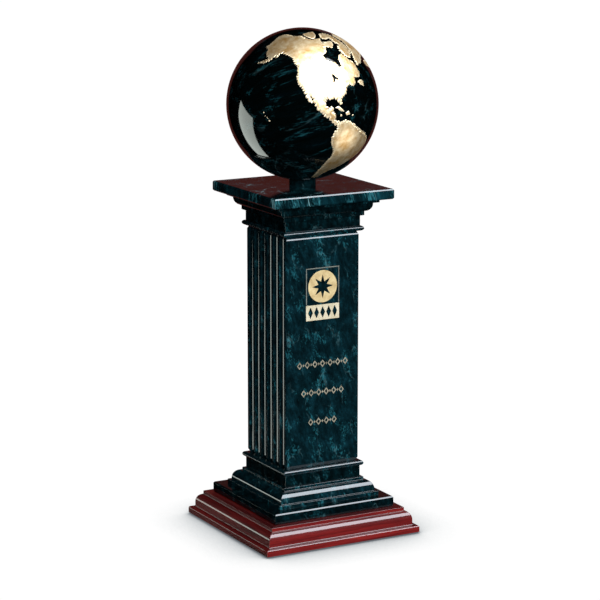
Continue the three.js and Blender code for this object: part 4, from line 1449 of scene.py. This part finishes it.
def card(name, corners, colour, strength):
    """A glowing card seen only in reflections."""
    mesh = bpy.data.meshes.new(name)
    mesh.from_pydata(corners, [], [tuple(range(len(corners)))])
    material, t = new_material(name)
    glow = add(t, "ShaderNodeEmission", {"Color": linear(colour), "Strength": strength})
    add(t, "ShaderNodeOutputMaterial", {"Surface": glow})
    mesh.materials.append(material)
    made = new_object(name, mesh)
    made.visible_camera = made.visible_diffuse = made.visible_shadow = False
    made.visible_transmission = made.visible_volume_scatter = False


KEY_OUTLINE = [(-18, 21), (46, 21), (56, 38), (62.5, 47), (63, 62), (-26, 62)]
LOW_LEFT_OUTLINE = [(-135, 2), (-110, -14), (-141, -56), (-156, -44), (-143, -13)]
card("key_softbox", through(KEY_OUTLINE, 5.0), "#eef6ff", 12.0)
card("low_left_card", through(LOW_LEFT_OUTLINE, 6.0), "#e2ece4", 5.0)
card("card_on_the_table", [
    (-0.16, 0.06, 0.0), (-0.16, 0.33, 0.0), (-0.16, 0.33, 0.022), (-0.16, 0.06, 0.022),
], "#e2ece4", 4.0)
for k, (start, end) in enumerate([(122, 142), (142, 162), (162, 182)]):
    wall = through([(start, -38), (end, -38), (end, 21), (start, 21)], 8.0)
    card(f"brown_wall_{k}", wall, "#80403a", 0.5)

# %% Sunlight softened by a screen
lit_leaf = bpy.data.collections.new("leaf_the_lamps_reach")
for leaf in leaves:
    lit_leaf.objects.link(leaf)
# Each one's strength, width in degrees, direction, and what it reaches if not everything.
SUNS = {
    "screened_sun": (5.0, 25, direction(-5, 15), None),
    "lamp_seen_in_the_northern_leaf": (6.5, 20, direction(5, 41), lit_leaf),
    "lamp_seen_in_the_southern_leaf": (0.65, 20, direction(55, -38), lit_leaf),
}
for name, (strength, width, way, reached) in SUNS.items():
    light = bpy.data.lights.new(name, "SUN")
    light.energy = strength
    light.angle = math.radians(width)
    source = new_object(name, light)
    source.rotation_mode = "QUATERNION"
    source.rotation_quaternion = way.to_track_quat("Z", "Y")
    source.visible_glossy = reached is not None
    source.visible_diffuse = reached is None
    source.light_linking.receiver_collection = reached

# %% Even light
world = bpy.data.worlds.new("even_light")
scene.world = world
world.use_nodes = True
world.node_tree.nodes["Background"].inputs["Color"].default_value = (1, 1, 1, 1)
world.node_tree.nodes["Background"].inputs["Strength"].default_value = 0.3
world.cycles_visibility.glossy = False
world.cycles_visibility.transmission = False

# %% Camera
camera = new_object("camera", bpy.data.cameras.new("camera"))
camera.location = (-0.9998, -1.8165, 0.6428)
aim = Vector((0.0, 0.0, 0.2041))
camera.rotation_mode = "QUATERNION"
camera.rotation_quaternion = (aim - camera.location).to_track_quat("-Z", "Y")
camera.data.lens = 144.75
camera.data.sensor_width = 36
camera.data.shift_x = -0.0041
scene.camera = camera
scene.view_settings.view_transform = "Standard"
